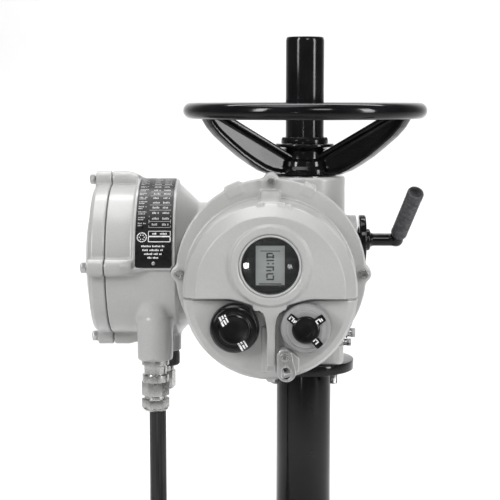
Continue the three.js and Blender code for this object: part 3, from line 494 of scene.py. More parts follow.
def tube_faces(rings, sides, closed=False):
    """Faces between rings of points, one after another: joined up at the end, or else capped at both ends."""
    faces = []
    for k in range(rings if closed else rings - 1):
        here, ahead = k * sides, (k + 1) % rings * sides
        for i in range(sides):
            beside = (i + 1) % sides
            faces.append((here + i, here + beside, ahead + beside, ahead + i))
    if not closed:
        faces += [tuple(range(sides)), tuple(range((rings - 1) * sides, rings * sides))]
    return faces


def add_cable():
    route = cable_route()
    sides = 88
    vertices = []
    for x, y, z in route:
        for k in range(sides):
            angle = 2 * math.pi * k / sides
            radius = CABLE_RADIUS - FLUTE_DEPTH * (0.5 - 0.5 * math.cos(CABLE_FLUTES * angle)) ** 3
            vertices.append((x + radius * math.cos(angle), y + radius * math.sin(angle), z))
    return mesh_object("supply_cable_sheath", vertices, tube_faces(len(route), sides), 50)


cable = dress(add_cable(), "cable_sheath", "housing", ["supply_cable"])


def add_conduit_fitting():
    at = cable_at * (1, 1, 0)
    fitting = lathe([(0, 0), (33, 0), (34, 1), (34, 5), (33, 6), (22.5, 6.5), (21, 8), (21, 20), (19.8, 21),
                     (19.8, 23), (21, 24), (21, 35), (17.5, 52), (17, 55), (0, 55)], at, UP, 0.8, 96)
    screws = [plate([hex_loop(4.2, 15 + a)], 5.9, 9.2, at + (*polar(27.5, a), 0), UP, 0.5)
              for a in (45, 135, 225, 315)]
    return piece("conduit_fitting_turned", "plated_steel", "housing", ["conduit_fitting"], fitting, *screws)


fitting = add_conduit_fitting()
[tuple(c * MM for c in point) for point in cable_route()]

# ---------------------------------------------------------------- castings from distance fields


def local(p, at, facing):
    """The points in a shape's own frame, where it faces along w."""
    return ((p - at) @ TURNS[facing]).T


def turned_field(points, at=(0, 0, 0), facing=UP, corner=2.0):
    """Distance to a solid of revolution whose (radius, height) profile starts and ends inside it."""
    loop = np.array(rounded(points, corner, 3, True))

    def field(p):
        u, v, w = local(p, at, facing)
        return loop_distance(np.hypot(u, v), w, loop)
    return field


def loop_distance(x, y, loop):
    """Signed distance from flat points to a closed outline, negative inside it."""
    nearest = np.full(len(x), np.inf)
    inside = np.zeros(len(x), bool)
    for (ax, ay), (bx, by) in zip(loop, np.roll(loop, -1, 0)):
        ex, ey = bx - ax, by - ay
        wx, wy = x - ax, y - ay
        share = np.clip((wx * ex + wy * ey) / (ex * ex + ey * ey), 0, 1)
        nearest = np.minimum(nearest, (wx - share * ex) ** 2 + (wy - share * ey) ** 2)
        if ay != by:
            inside ^= ((ay > y) != (by > y)) & (wx < wy * ex / ey)
    return np.where(inside, -1, 1) * np.sqrt(nearest)


def thick(flat_distance, along, low, high, edge):
    """A flat shape given depth along an axis, with its edges rounded."""
    out = flat_distance + edge
    deep = np.abs(along - (low + high) / 2) - (high - low) / 2 + edge
    return np.hypot(np.maximum(out, 0), np.maximum(deep, 0)) + np.minimum(np.maximum(out, deep), 0) - edge


def drum(facing, at, radius, low, high, edge=1.5):
    def field(p):
        u, v, w = local(p, at, facing)
        return thick(np.hypot(u, v) - radius, w, low, high, edge)
    return field


def prism(facing, at, outline, low, high, edge=1.5, corner=2.0):
    loop = np.array(rounded(outline, corner, 3, True))

    def field(p):
        u, v, w = local(p, at, facing)
        return thick(loop_distance(u, v, loop), w, low, high, edge)
    return field


def bar(low, high, edge=1.5):
    low, high = np.array(low, float), np.array(high, float)

    def field(p):
        away = np.abs(p - (low + high) / 2) - (high - low) / 2 + edge
        return np.linalg.norm(np.maximum(away, 0), axis=1) + np.minimum(away.max(axis=1), 0) - edge
    return field


def blend_low(a, b, soft):
    """The lesser of two distances, with a fillet where they meet."""
    near = np.maximum(soft - np.abs(a - b), 0) / soft
    return np.minimum(a, b) - near * near * soft / 4


def merge(soft, *fields):
    def field(p):
        found = fields[0](p)
        for other in fields[1:]:
            found = blend_low(found, other(p), soft)
        return found
    return field


def overlap(soft, *fields):
    def field(p):
        found = -fields[0](p)
        for other in fields[1:]:
            found = blend_low(found, -other(p), soft)
        return -found
    return field


def carve(soft, body, *tools):
    def field(p):
        found = -body(p)
        for tool in tools:
            found = blend_low(found, tool(p), soft)
        return -found
    return field


BLOCK = 8  # grid points along each side of a block
CHUNK = 150000  # points worked out at once


def in_chunks(field, points):
    return np.concatenate([field(points[i:i + CHUNK]) for i in range(0, len(points), CHUNK)])


def sampled(field, low, high, step):
    """The field on a grid, worked out only in the blocks that the surface passes near."""
    blocks = np.ceil((high - low) / step / BLOCK).astype(int)
    index = np.stack(np.meshgrid(*[np.arange(n) for n in blocks], indexing="ij"), -1).reshape(-1, 3)
    centres = low + (index * BLOCK + (BLOCK - 1) / 2) * step
    coarse = in_chunks(field, centres)
    values = np.repeat(coarse[:, None], BLOCK ** 3, 1)
    near = np.abs(coarse) < (BLOCK + 1) * step * math.sqrt(3) / 2 + 3
    inner = np.stack(np.meshgrid(*[np.arange(BLOCK)] * 3, indexing="ij"), -1).reshape(-1, 3)
    points = centres[near][:, None, :] + (inner - (BLOCK - 1) / 2) * step
    values[near] = in_chunks(field, points.reshape(-1, 3)).reshape(-1, BLOCK ** 3)
    values = values.reshape(*blocks, BLOCK, BLOCK, BLOCK).transpose(0, 3, 1, 4, 2, 5)
    return values.reshape(*(blocks * BLOCK))


def slope(field, points, reach=0.05):
    """The field's unit slope, from four samples round each point."""
    ways = np.array([(1, -1, -1), (-1, -1, 1), (-1, 1, -1), (1, 1, 1)], float)
    total = sum(way * in_chunks(field, points + way * reach)[:, None] for way in ways)
    return total / np.maximum(np.linalg.norm(total, axis=1), 1e-9)[:, None]


def surface(values, low, step):
    """Dual vertices and quads of the zero surface of a grid of distances."""
    inside = values < 0
    shape = np.array(values.shape) - 1
    steps = [np.array(c) for c in np.ndindex(2, 2, 2)]
    count = sum(inside[tuple(slice(s, s + n) for s, n in zip(c, shape))].astype(np.int8) for c in steps)
    cells = np.argwhere((count > 0) & (count < 8))
    number = np.full(shape, -1)
    number[tuple(cells.T)] = np.arange(len(cells))
    total, hits = np.zeros((len(cells), 3)), np.zeros(len(cells))
    for corner in steps:
        for axis in range(3):
            if corner[axis]:
                continue
            ahead = np.eye(3, dtype=int)[axis]
            here = values[tuple((cells + corner).T)]
            there = values[tuple((cells + corner + ahead).T)]
            crossed = (here < 0) != (there < 0)
            share = np.where(crossed, here / np.where(crossed, here - there, 1), 0)
            total += np.where(crossed[:, None], corner + share[:, None] * ahead, 0)
            hits += crossed
    vertices = low + (cells + total / hits[:, None]) * step
    quads = []
    for axis in range(3):
        ahead = np.eye(3, dtype=int)[axis]
        across, up = np.eye(3, dtype=int)[(axis + 1) % 3], np.eye(3, dtype=int)[(axis + 2) % 3]
        first = inside[tuple(slice(0, n) for n in shape)]
        second = inside[tuple(slice(a, a + n) for a, n in zip(ahead, shape))]
        for outward in (True, False):
            edges = np.argwhere((first != second) & (first == outward))
            edges = edges[(edges - across - up).min(axis=1) >= 0]
            ring = [edges, edges - across, edges - across - up, edges - up]
            ring = ring if outward else ring[::-1]
            quads.append(np.stack([number[tuple(r.T)] for r in ring], 1))
    return vertices, np.concatenate(quads)


def casting(name, field, node, step, room=3.0):
    """A smooth mesh of a distance field inside a CAD node's box."""
    low, high = box_mm(node)
    low, high = low - room, high + room
    vertices, quads = surface(sampled(field, low, high, step), low, step)
    for _ in range(2):
        vertices = vertices - in_chunks(field, vertices)[:, None] * slope(field, vertices)
    mesh = bpy.data.meshes.new(name)
    mesh.from_pydata((vertices * MM).tolist(), [], quads.tolist())
    mesh.update()
    mesh.shade_smooth()
    mesh.normals_split_custom_set_from_vertices(slope(field, vertices))
    return add_object(name, mesh)



def grey_casting(node, field, step, room=3.0):
    """One of the grey castings, in place of the node that it is named after."""
    dress(casting(node + "_casting", field, node, step, room), "grey_casting", "housing", [node])

# ---------------------------------------------------------------- gearcase

RING_RADIUS = 110.5
RING_BACK, RING_FRONT = 105.9, 120.0
RING_LUG = 9.5
RING_LUG_REACH = 106.9
LOW_SCREW_REACH = 112.0
FACE_FRONT, FACE_BACK = 103.7, 86.5
EAR_ANGLES = (66.6, 113.4)
MOTOR_FACE = 78.0
NECK = 69.0
NECK_END = 117.7


def ring_places():
    """Where the four ring screws stand, on the front plane."""
    offsets = ((0, RING_LUG_REACH), (-RING_LUG_REACH, 0), (RING_LUG_REACH, 0), (0, -LOW_SCREW_REACH))
    return [ring_at * (1, 0, 1) + (dx, 0, dz) for dx, dz in offsets]


def gearcase_field():
    trunk = turned_field([(-30, 230), (44, 230), (40, 250), (40, 258), (61, 268), (61, 290), (73, 312),
                          (73, 331), (62, 346), (62, 389), (50, 404), (50, 448), (50, 455.5), (-30, 455.5)],
                         corner=6)
    base = prism(UP, (0, 0, 0), box_loop(0, 0, 96, 96), 226.8, 250, 2, 12)
    front = ring_at * (1, 0, 1)
    motor, lever = motor_at * (1, 0, 1), lever_at * (0, 1, 1)
    face = drum(FRONT, front, 104, FACE_BACK, FACE_FRONT, 2)
    barrel = drum(FRONT, front, 74, 5, FACE_FRONT - 1)
    side = terminal_at * (0, 1, 1)
    neck = drum(LEFT, side, NECK, 5, NECK_END, 1)
    worm = drum(BACK, motor, 44, -20, MOTOR_FACE - 4, 6)
    motor_flange = drum(BACK, motor, 70, MOTOR_FACE - 14, MOTOR_FACE, 2)
    lever_boss = drum(RIGHT, lever, 30, 20, 61, 2)
    filler = drum(RIGHT, middle("oil_filler_plug") * (0, 1, 1), 6.9, 30, 52.5, 1)
    lugs = [drum(FRONT, place, RING_LUG, FACE_BACK, FACE_FRONT, 1.5) for place in ring_places()]
    ears = []
    for angle in EAR_ANGLES:
        x, z = polar(106, angle)
        ears.append(drum(FRONT, front + (x, 0, z), 7.5, FACE_BACK + 4, FACE_FRONT, 1.2))
    outside = merge(4, merge(12, merge(9, trunk, base), barrel, neck, worm), face, motor_flange,
                    lever_boss, filler, *lugs, *ears)
    stem = drum(UP, (0, 0, 0), 29, 200, 480, 0.5)
    pockets = [drum(UP, (0, 0, 0), 38.3, 200, 249.3, 0.5), drum(UP, (0, 0, 0), 38.3, 430.7, 480, 0.5)]
    wheel_room = drum(UP, (0, 0, 0), 52, 328, 360, 2)
    clutch_room = drum(UP, (0, 0, 0), 40, 357, 381, 2)
    worm_bore = drum(BACK, motor, 18, -62, 90, 1)
    front_room = drum(FRONT, front, 66, 70, 120, 3)
    side_room = drum(LEFT, side, 58, 92, 130, 3)
    lever_hole = drum(RIGHT, lever, 8.9, 42, 70, 0.5)
    screws = [drum(FRONT, place, 4.4, FACE_BACK - 4, FACE_FRONT + 5, 0.5) for place in ring_places()]
    bolts = [drum(UP, middle(f"base_bolt_{i}") * (1, 1, 0), 5.3, 220, 260, 0.5) for i in (1, 2, 3, 4)]
    plugs = [drum(RIGHT, middle(n) * (0, 1, 1), r, 40, 60, 0.5)
             for n, r in (("oil_filler_plug", 4.4), ("oil_drain_plug", 3.4))]
    return carve(1, outside, stem, *pockets, wheel_room, clutch_room, worm_bore, front_room, side_room,
                 lever_hole, *screws, *bolts, *plugs)


grey_casting("gearcase", gearcase_field(), 1.9)

# ---------------------------------------------------------------- motor cover

FINS = 26
FIN_OUT, FIN_THICK = 66.0, 3.4
FIN_BACK, FIN_FRONT = 96.0, 176.0


def fins_field(p):
    """Cooling fins that stand round the motor cover and run along it."""
    u, v, w = local(p, motor_at * (1, 0, 1), BACK)
    sector = 2 * math.pi / FINS
    angle = (np.arctan2(v, u) + sector / 2) % sector - sector / 2
    radius = np.hypot(u, v)
    across = np.abs(radius * np.sin(angle)) - FIN_THICK / 2
    flat = np.maximum(across, np.maximum(50 - radius, radius - FIN_OUT))
    return thick(flat, w, FIN_BACK, FIN_FRONT, 1.2)


def motor_cover_field():
    at = motor_at * (1, 0, 1)
    shell = turned_field([(-30, 78.3), (70, 78.3), (70, 87.3), (62, 92), (61, 178), (52, 192), (36, 198),
                          (-30, 198)], at, BACK, 4)
    flange = drum(BACK, at, 70, 78.3, 87.5, 1.5)
    inside = turned_field([(-30, 60), (57, 60), (57, 173), (38, 191), (-30, 193)], at, BACK, 4)
    return carve(0.5, merge(3, shell, flange, fins_field), inside)


grey_casting("motor_cover", motor_cover_field(), 1.7, 7)

# ---------------------------------------------------------------- control cover

BELL_FRONT, STEP_FACE, SHELF = 230.0, 219.0, -8.6
BELL_RIM = 93.2
TIP_REACH = 128.6
EARS = ((113.8, 4.9, 114.2), (66.2, 3.5, 114.6))  # middle angle, half angle and reach
SHOULDER_AND_RIB = [(18.7, 4), (18.7, -15), (17.8, -20), (13.9, -21.6), (10, -24.3), (7.7, -29), (6.3, -37),
                    (5.6, -50), (5.6, -100), (-3.4, -100), (-3.4, -50), (-4.2, -37), (-5.8, -29), (-8.2, -24.3),
                    (-12.1, -21.6), (-17.8, -22), (-19.1, -19), (-19.1, 4)]


def raised_mask(u, v):
    """Flat outline of what stands proud of the lower step: upper half, window ring, shoulder and rib."""
    window = np.hypot(u, v - (glass_at[Z] - bell_at[Z])) - 45.5
    found = blend_low(SHELF - v, window, 16)
    return blend_low(found, loop_distance(u, v, np.array(SHOULDER_AND_RIB, float)), 2.5)


def raised_field(p):
    u, v, w = local(p, bell_at * (1, 0, 1), FRONT)
    return thick(raised_mask(u, v), w, 180, BELL_FRONT + 20, 0.1)


def shelf_groove(step):
    """A shallow groove in the lower step's face and edge, along the shelf above it."""
    def field(p):
        u, v, w = local(p, bell_at * (1, 0, 1), FRONT)
        flat = np.maximum(np.abs(raised_mask(u, v) - 1.2) - 1.3, -24 - v)
        return np.maximum(np.maximum(flat, 128 - w), -(step(p) + 2.2))
    return field


def polar_outline(centre_angle, half_angle, inner, outer):
    corners = ((inner, -half_angle), (outer, -half_angle), (outer, half_angle), (inner, half_angle))
    return [polar(r, centre_angle + a) for r, a in corners]


def control_cover_field():
    bell, ring = bell_at * (1, 0, 1), ring_at * (1, 0, 1)
    window = glass_at * (1, 0, 1)
    flange = drum(FRONT, ring, RING_RADIUS, RING_BACK, RING_FRONT, 2.5)
    lugs = [drum(FRONT, place, RING_LUG, RING_BACK, RING_FRONT, 2) for place in ring_places()]
    ears = [prism(FRONT, ring, polar_outline(angle, half, 100, reach), RING_BACK, RING_FRONT, 1.2, 2)
            for angle, half, reach in EARS]
    tip = prism(FRONT, ring, [(-10, -104), (-9, -116), (-4, -TIP_REACH), (4, -TIP_REACH), (9, -116),
                              (10, -104)], RING_BACK, RING_FRONT - 2, 1.5, 4)
    high = turned_field([(-30, 110), (98.5, 110), (98, 120), (BELL_RIM, 216, 3), (81.2, BELL_FRONT, 1.6),
                         (-30, BELL_FRONT)], bell, FRONT, 3)
    low = turned_field([(-30, 110), (98.5, 110), (98.5, 120), (95.8, 207, 3), (91.6, 215.4, 2.5),
                        (85.4, STEP_FACE, 1.6), (-30, STEP_FACE)], bell + (0, 0, -5), FRONT, 3)
    raised = overlap(2, high, raised_field)
    pad = overlap(2, bar(bell + (-10.5, -214, 70), bell + (10.5, -RING_BACK - 6, 103)),
                  turned_field([(-30, 100), (103, 100), (102, 130), (95.6, 214), (-30, 214)], bell, FRONT, 2))
    bumps = [bar(bell + (x - half, -217, 84), bell + (x + half, -207, h), 1)
             for x, half, h in ((-10.6, 3.2, 95.2), (12.4, 3.6, 95), (21, 2.2, 93))]
    window_ring = turned_field([(-30, 190), (44.9, 190), (44.9, 230.3), (42.2, 233), (36, 233), (33.9, 231.5),
                                (-30, 231.5)], window, FRONT, 0.7)
    strip = prism(FRONT, bell, [(-8.9, -90), (-8.9, -40), (-3, -40), (-3, -90)], 205, 221.2, 0.8, 1)
    bracket = prism(FRONT, bell, [(15, -95), (15, -66), (24, -66), (31, -73), (31, -95)], 205, 228.5, 0.8, 2)
    post = drum(FRONT, tab_at * (1, 0, 1), 7, 210, 238, 1)
    body = merge(4, low, raised)
    body = merge(3, merge(4, flange, *lugs, *ears, tip), body, pad, *bumps)
    body = merge(1, body, window_ring, post)
    body = merge(1.5, body, strip, overlap(1, bracket, drum(FRONT, bell, 93.4, 200, 230, 1)))
    cavity = turned_field([(-30, 60), (88.5, 60), (88.5, 120), (84, 196), (74, 208), (-30, 208)],
                          bell, FRONT, 4)
    seat = drum(FRONT, window, 33.9, 226, 250, 0.5)
    opening = drum(FRONT, window, 31, 190, 235, 0.5)
    knobs = [at * (1, 0, 1) for at in (mode_at, command_at)]
    rooms = [drum(FRONT, at, 28.6, STEP_FACE, 260, 1.0) for at in knobs]
    shafts = [drum(FRONT, at, 5.2, 190, 240, 0.5) for at in knobs]
    screws = [drum(FRONT, place, 4.4, 90, 140, 0.5) for place in ring_places()]
    hole = drum(FRONT, tab_at * (1, 0, 1), 3, 221, 250, 0.3)
    lock_hole = drum(FRONT, bell + (17.9, 0, -86.5), 3.2, 214, 250, 0.3)
    body = carve(1, body, *rooms, shelf_groove(low))
    return carve(0.8, body, cavity, seat, opening, *shafts, *screws, hole, lock_hole)


grey_casting("control_cover", control_cover_field(), 1.35)

# ---------------------------------------------------------------- terminal housing and its cover

BODY_RADIUS = 91.7
BODY_END = 235.5
COVER_BACK, COVER_EDGE, COVER_FRONT = 236.5, 255.5, 266.4
COVER_SCREWS = 97.4
COVER_LUG = 10.2
PLATE_RIGHT, PLATE_LEFT, PLATE_OUT = 157.0, 200.0, 98.6
ENTRY_RADIUS, ENTRY_LOW = 20.2, 240.0
TAIL_START, TAIL_END, TAIL_SINK = 218.0, 184.0, 11.5


def cover_places():
    """Where the four terminal cover screws stand, on the housing's axis plane."""
    side = terminal_at * (0, 1, 1)
    offsets = ((0, 0, 1), (0, 0, -1), (0, -1, 0), (0, 1, 0))
    return [side + COVER_SCREWS * np.array(offset) for offset in offsets]


def tailed_lug(place):
    """A screw lug whose back end sinks and tapers away into the housing's side."""
    inward = (terminal_at * (0, 1, 1) - place) / COVER_SCREWS
    loop = np.array(rounded([(-20, TAIL_END), (6.5, TAIL_END), (COVER_LUG, 208), (COVER_LUG, BODY_END),
                             (-20, BODY_END)], 2, 3, True))

    def field(p):
        along = -p[:, X]
        share = np.clip((TAIL_START - along) / (TAIL_START - TAIL_END), 0, 1) ** 1.25
        u, v, w = local(p, place + (TAIL_SINK * share)[:, None] * inward, LEFT)
        return loop_distance(np.hypot(u, v), w, loop)
    return field


def terminal_housing_field():
    side = terminal_at * (0, 1, 1)
    shell = turned_field([(-30, 118), (NECK, 118), (NECK, 129.5), (89.7, 151), (BODY_RADIUS, 155, 3),
                          (BODY_RADIUS, 260), (-30, 260)], side, LEFT, 5)
    slab = drum(LEFT, side, 140, 118, BODY_END, 0.4)
    plate_room = bar(side + (-PLATE_LEFT - 3.5, -130, -0.8), side + (-PLATE_RIGHT, 0.8, 130), 1)
    lugs = [carve(1.5, tailed_lug(place), plate_room) for place in cover_places()]
    plate_pad = overlap(2.5, drum(LEFT, side, PLATE_OUT - 1.3, PLATE_RIGHT - 3.5, PLATE_LEFT + 3.5, 1.5),
                        bar(side + (-300, -200, -3.5), side + (0, 3, 200)))
    gland, plug = gland_at * (1, 1, 0), spare_at * (1, 1, 0)
    entry = turned_field([(-20, ENTRY_LOW), (ENTRY_RADIUS, ENTRY_LOW), (ENTRY_RADIUS, 309), (14, 320),
                          (-20, 327)], gland, UP, 6)
    entry_end = drum(UP, gland, ENTRY_RADIUS, ENTRY_LOW, 290, 1)
    spare = drum(UP, plug, ENTRY_RADIUS, ENTRY_LOW, 284, 1)
    outside = merge(4, merge(6, shell, spare), entry, entry_end, *lugs, plate_pad)
    outside = overlap(1, outside, slab)
    cavity = turned_field([(-30, 100), (58, 100), (58, 152), (84, 168), (84, 260), (-30, 260)], side, LEFT, 4)
    ring_room = drum(FRONT, ring_at * (1, 0, 1), RING_RADIUS + 0.6, FACE_BACK - 0.3, 125, 0.3)
    lug_room = drum(FRONT, ring_places()[1], RING_LUG + 0.6, FACE_BACK - 0.3, 125, 0.3)
    bores = [drum(UP, at, 12.6, 200, 314, 0.5) for at in (gland, plug)]
    holes = [drum(LEFT, place, 4.4, 210, 260, 0.5) for place in cover_places()]
    return carve(0.8, outside, cavity, ring_room, lug_room, *bores, *holes)


def terminal_cover_field():
    side = terminal_at * (0, 1, 1)
    dome = turned_field([(-30, COVER_BACK), (BODY_RADIUS, COVER_BACK), (BODY_RADIUS, 252),
                         (88, COVER_EDGE + 1), (76, 258), (54, 262.9), (30, 265.6), (-30, COVER_FRONT)],
                        side, LEFT, 2.5)
    lugs = [drum(LEFT, place, COVER_LUG, COVER_BACK, COVER_EDGE, 1.5) for place in cover_places()]
    inside = turned_field([(-30, 200), (84, 200), (84, 248.5), (60, 252.5), (-30, 261)], side, LEFT, 3)
    holes = [drum(LEFT, place, 4.4, 220, 270, 0.5) for place in cover_places()]
    return carve(0.8, merge(5, dome, *lugs), inside, *holes)


grey_casting("terminal_housing", terminal_housing_field(), 1.6)
grey_casting("terminal_cover", terminal_cover_field(), 1.5)

# ---------------------------------------------------------------- screws and bolts


def hex_bolt(node, at, facing, radius, head, low, face, height):
    """A hexagon bolt with a washer under its head and threads at its tip."""
    shank = lathe(threaded(radius, low, min(low + 14, face)) + [(radius, face + 1)], at, facing, 0, 32)
    washer = ring_shape(radius * 0.9, head, face, face + 1.2, at, facing, 0.3, 48)
    hexagon_head = plate([hex_loop(head * 0.97, 30)], face + 1.1, face + height - 0.5, at, facing, 0.9)
    crown = lathe([(0, face + height - 1.5), (head * 0.82, face + height - 1.5), (head * 0.72, face + height),
                   (0, face + height)], at, facing, 0.5, 48)
    piece(node + "_hex", "plated_steel", "housing", [node], shank, washer, hexagon_head, crown)


def cap_screw(node, at, facing, low, face, radius=3.9, head=5.6, height=7.5):
    """A socket head cap screw."""
    shank = lathe(threaded(radius, low, low + 8) + [(radius, face + 1)], at, facing, 0, 32)
    top = face + height - 3.8
    foot = lathe([(0, face), (head, face), (head, top), (0, top)], at, facing, 0.3, 48)
    socket = plate([circle((0, 0), head, 48), hex_loop(2.9)], face + height - 4.0, face + height,
                   at, facing, 0.5)
    piece(node + "_cap", "plated_steel", "housing", [node], shank, foot, socket)

# ---------------------------------------------------------------- column


def weld(radius, height, size=3.2, beads=70):
    """A rippled weld bead round a tube."""
    around, across = beads * 6, 10
    vertices, faces = [], []
    for i in range(around):
        angle = 2 * math.pi * i / around
        swell = size * (1 - 0.12 * abs(math.sin(beads / 2 * angle)))
        for j in range(across):
            turn = 2 * math.pi * j / across
            reach = radius + swell * math.cos(turn)
            vertices.append((reach * math.cos(angle), reach * math.sin(angle), height + swell * math.sin(turn)))
            here, ahead, beside = i * across, (i + 1) % around * across, (j + 1) % across
            faces.append((here + j, ahead + j, ahead + beside, here + beside))
    return np.array(vertices), faces


def build_column():
    holes = [circle((x, y), 7, 32) for x in (-60, 60) for y in (-60, 60)]
    square = rounded([(80, -80), (80, 80), (-80, 80), (-80, -80)], 14, 8, True)
    foot = plate([square, *holes], 0, 12, bevel=1.0)
    spigot = lathe([(0, 11), (29.7, 11), (29.7, 20), (0, 20)], sides=64)
    piece("column_foot_plate", "black_paint", "housing", ["column_foot"], foot, spigot)
    tube = ring_shape(30, 34, 12.3, 214.2, corner=0.6, sides=128)
    piece("column_tube_welded", "black_paint", "housing", ["column_tube"], tube,
          weld(34.6, 15.3), weld(34.2, 211.6))
    bolts = [middle(f"base_bolt_{i}") for i in (1, 2, 3, 4)]
    loops = [circle((0, 0), 62.5, 128), circle((0, 0), 20, 64), *[circle(b[:2], 5.3, 24) for b in bolts]]
    disc = plate(loops, 214.5, 226.5, bevel=1.0)
    piece("column_flange_disc", "black_paint", "housing", ["column_flange"], disc,
          ring_shape(20, 29.7, 200.5, 215.5, corner=0.6, sides=64))
    for i, place in enumerate(bolts, 1):
        hex_bolt(f"base_bolt_{i}", place * (1, 1, 0), UP, 4.7, 9.2, 201.5, 250.3, 6.4)


build_column()

# ---------------------------------------------------------------- gearcase plugs and drive train


def build_plugs():
    plugs = (("oil_filler_plug", 4, 6.2, 52.8, 64.5), ("oil_drain_plug", 3, 4.9, 48.3, 59.4))
    for name, radius, head, face, end in plugs:
        at = middle(name) * (0, 1, 1)
        shank = lathe([(0, face - 6), (radius, face - 6), (radius, face + 1), (0, face + 1)],
                      at, RIGHT, 0.3, 32)
        washer = ring_shape(radius * 0.9, head + 0.9, face, face + 1.6, at, RIGHT, 0.4, 48)
        waist = head * 0.86
        neck = lathe([(0, face + 1), (waist, face + 1), (waist, end - 5.5), (0, end - 5.5)],
                     at, RIGHT, 0.4, 48)
        top = plate([hex_loop(head, 30)], end - 6, end, at, RIGHT, 0.7)
        piece(name + "_hex", "plated_steel", "housing", [name], shank, washer, neck, top)


def waved(base, swing, phases):
    return base + swing * np.clip(1.6 * np.sin(phases), -1, 1)


def build_worm_gear():
    low, high = box_mm("worm_wheel")[0][Z], box_mm("worm_wheel")[1][Z]
    levels = np.linspace(low, high, 9)
    around = 30 * 12
    angles = np.linspace(0, 2 * math.pi, around, endpoint=False)
    rings = []
    for z in levels:
        away = (z - (low + high) / 2) / 12
        radius = np.minimum(waved(43.2 + 1.4 * away ** 2, 2.2, 30 * (angles + 0.05 * away)), 45.9)
        rings.append(np.stack([radius * np.cos(angles), radius * np.sin(angles), np.full(around, z)], 1))
    for radius, z in ((38, high), (36, high - 3), (31, high - 3), (30, high), (27.8, high), (27.8, low),
                      (30, low), (31, low + 3), (36, low + 3), (38, low)):
        rings.append(np.stack([radius * np.cos(angles), radius * np.sin(angles), np.full(around, z)], 1))
    count = len(rings)
    faces = tube_faces(count, around, closed=True)
    piece("worm_wheel_cut", "gear_bronze", "worm_wheel", ["worm_wheel"], (np.concatenate(rings), faces))


def build_worm_shaft():
    sides, pitch = 48, 9.0
    low, high = box_mm("worm_shaft")[0][Y], box_mm("worm_shaft")[1][Y]
    along = [*np.linspace(low, high, 30), *np.linspace(-20, 20, 81), low + 1, high - 1]
    angles = np.linspace(0, 2 * math.pi, sides, endpoint=False)
    vertices = []
    along = np.unique(along)
    for y in along:
        fade = np.clip((19 - abs(y)) / 3, 0, 1)
        plain = 8.0 if low + 0.5 < y < high - 0.5 else 7.2
        wave = np.clip(1.7 * np.sin(2 * math.pi * y / pitch - angles), -1, 1)
        thread = plain + fade * (11.8 + 2 * wave - plain)
        vertices.append(np.stack([thread * np.cos(angles), np.full(sides, y), thread * np.sin(angles)], 1))
    faces = tube_faces(len(along), sides)
    piece("worm_shaft_threaded", "plated_steel", "motor_rotor", ["worm_shaft"],
          (np.concatenate(vertices) + motor_at * (1, 0, 1), faces))


def bearing(name):
    low, high = box_mm(name)[0][Z], box_mm(name)[1][Z]
    mid = (low + high) / 2
    outer = lathe([(35, low), (38, low), (38, high), (35, high), (35, mid + 2.4), (36, mid), (35, mid - 2.4)],
                  corner=0.5, closed=True)
    inner = lathe([(27.3, low), (30, low), (30, mid - 2.4), (29, mid), (30, mid + 2.4), (30, high),
                   (27.3, high)], corner=0.5, closed=True)
    balls = [ball(3.3, (32.5 * math.cos(a), 32.5 * math.sin(a), mid), 16)
             for a in np.linspace(0, 2 * math.pi, 22, endpoint=False)]
    piece(name + "_races", "plated_steel", "housing", [name], outer, inner, *balls)


def build_drive_train():
    low, high = box_mm("drive_sleeve")[0][Z], box_mm("drive_sleeve")[1][Z]
    grooves = [(27, 300), (26.2, 301), (26.2, 303), (27, 304), (27, 408), (26.2, 409), (26.2, 411), (27, 412)]
    sleeve = lathe([(20, low), (27, low), *grooves, (27, high), (20, high)], corner=0.8, closed=True)
    piece("drive_sleeve_turned", "plated_steel", "handwheel", ["drive_sleeve"], sleeve)
    low, high = box_mm("drive_nut")[0][Z], box_mm("drive_nut")[1][Z]
    teeth = []
    for k in range(10):
        z = high - (k + 0.5) * (high - low) / 10
        teeth += [(14, z + 1.2), (15.4, z + 0.6), (15.4, z - 0.6), (14, z - 1.2)]
    nut = lathe([(14, low), (19.7, low), (19.7, high), (14, high), *teeth], corner=0.3, closed=True, steps=2)
    piece("drive_nut_threaded", "gear_bronze", "handwheel", ["drive_nut"], nut)
    bearing("lower_bearing")
    bearing("upper_bearing")
    low, high = box_mm("clutch_ring")[0][Z], box_mm("clutch_ring")[1][Z]
    band = lathe([(27.6, low + 3.5), (35, low + 3.5), (36, low + 4.5), (36, high - 5), (33.5, high - 5),
                  (33.5, high - 2), (36, high - 2), (36, high), (27.6, high)], corner=0.5, closed=True)
    dogs = []
    for a in range(0, 360, 60):
        outline = arc((0, 0), 35.5, a - 14, a + 14) + arc((0, 0), 28.2, a + 14, a - 14)
        dogs.append(plate([rounded(outline, 0.8, 2, True)], low, low + 5, bevel=0.4))
    piece("clutch_ring_dogs", "plated_steel", "clutch", ["clutch_ring"], band, *dogs)
    at = motor_at * (1, 0, 1)
    stack = [(28 - 0.5 * (k % 2), 104 + 2.2 * k + 0.5 * (k % 2)) for k in range(27)]
    rotor = lathe([(8.6, 100), (24, 100), (26, 103), *stack, (26, 163), (24, 166), (8.6, 166)],
                  at, BACK, 0.2, closed=True)
    piece("motor_rotor_stack", "plated_steel", "motor_rotor", ["motor_rotor"], rotor)
    turns = []
    for start in (98, 153):
        for t in np.linspace(0, 2 * math.pi, 14, endpoint=False):
            strand = arc((43 + 9 * math.cos(t), start + 7.5 + 5 * math.sin(t)), 2.4, 0, 330, 11)
            turns.append(lathe(strand, at, BACK, 0, 72, True))
    core = ring_shape(30.2, 55.6, 113, 153, at, BACK, 1)
    piece("motor_stator_windings", "winding_copper", "housing", ["motor_stator"], core, *turns)


build_plugs()
build_worm_gear()
build_worm_shaft()
build_drive_train()

# ---------------------------------------------------------------- handwheel and stem cover

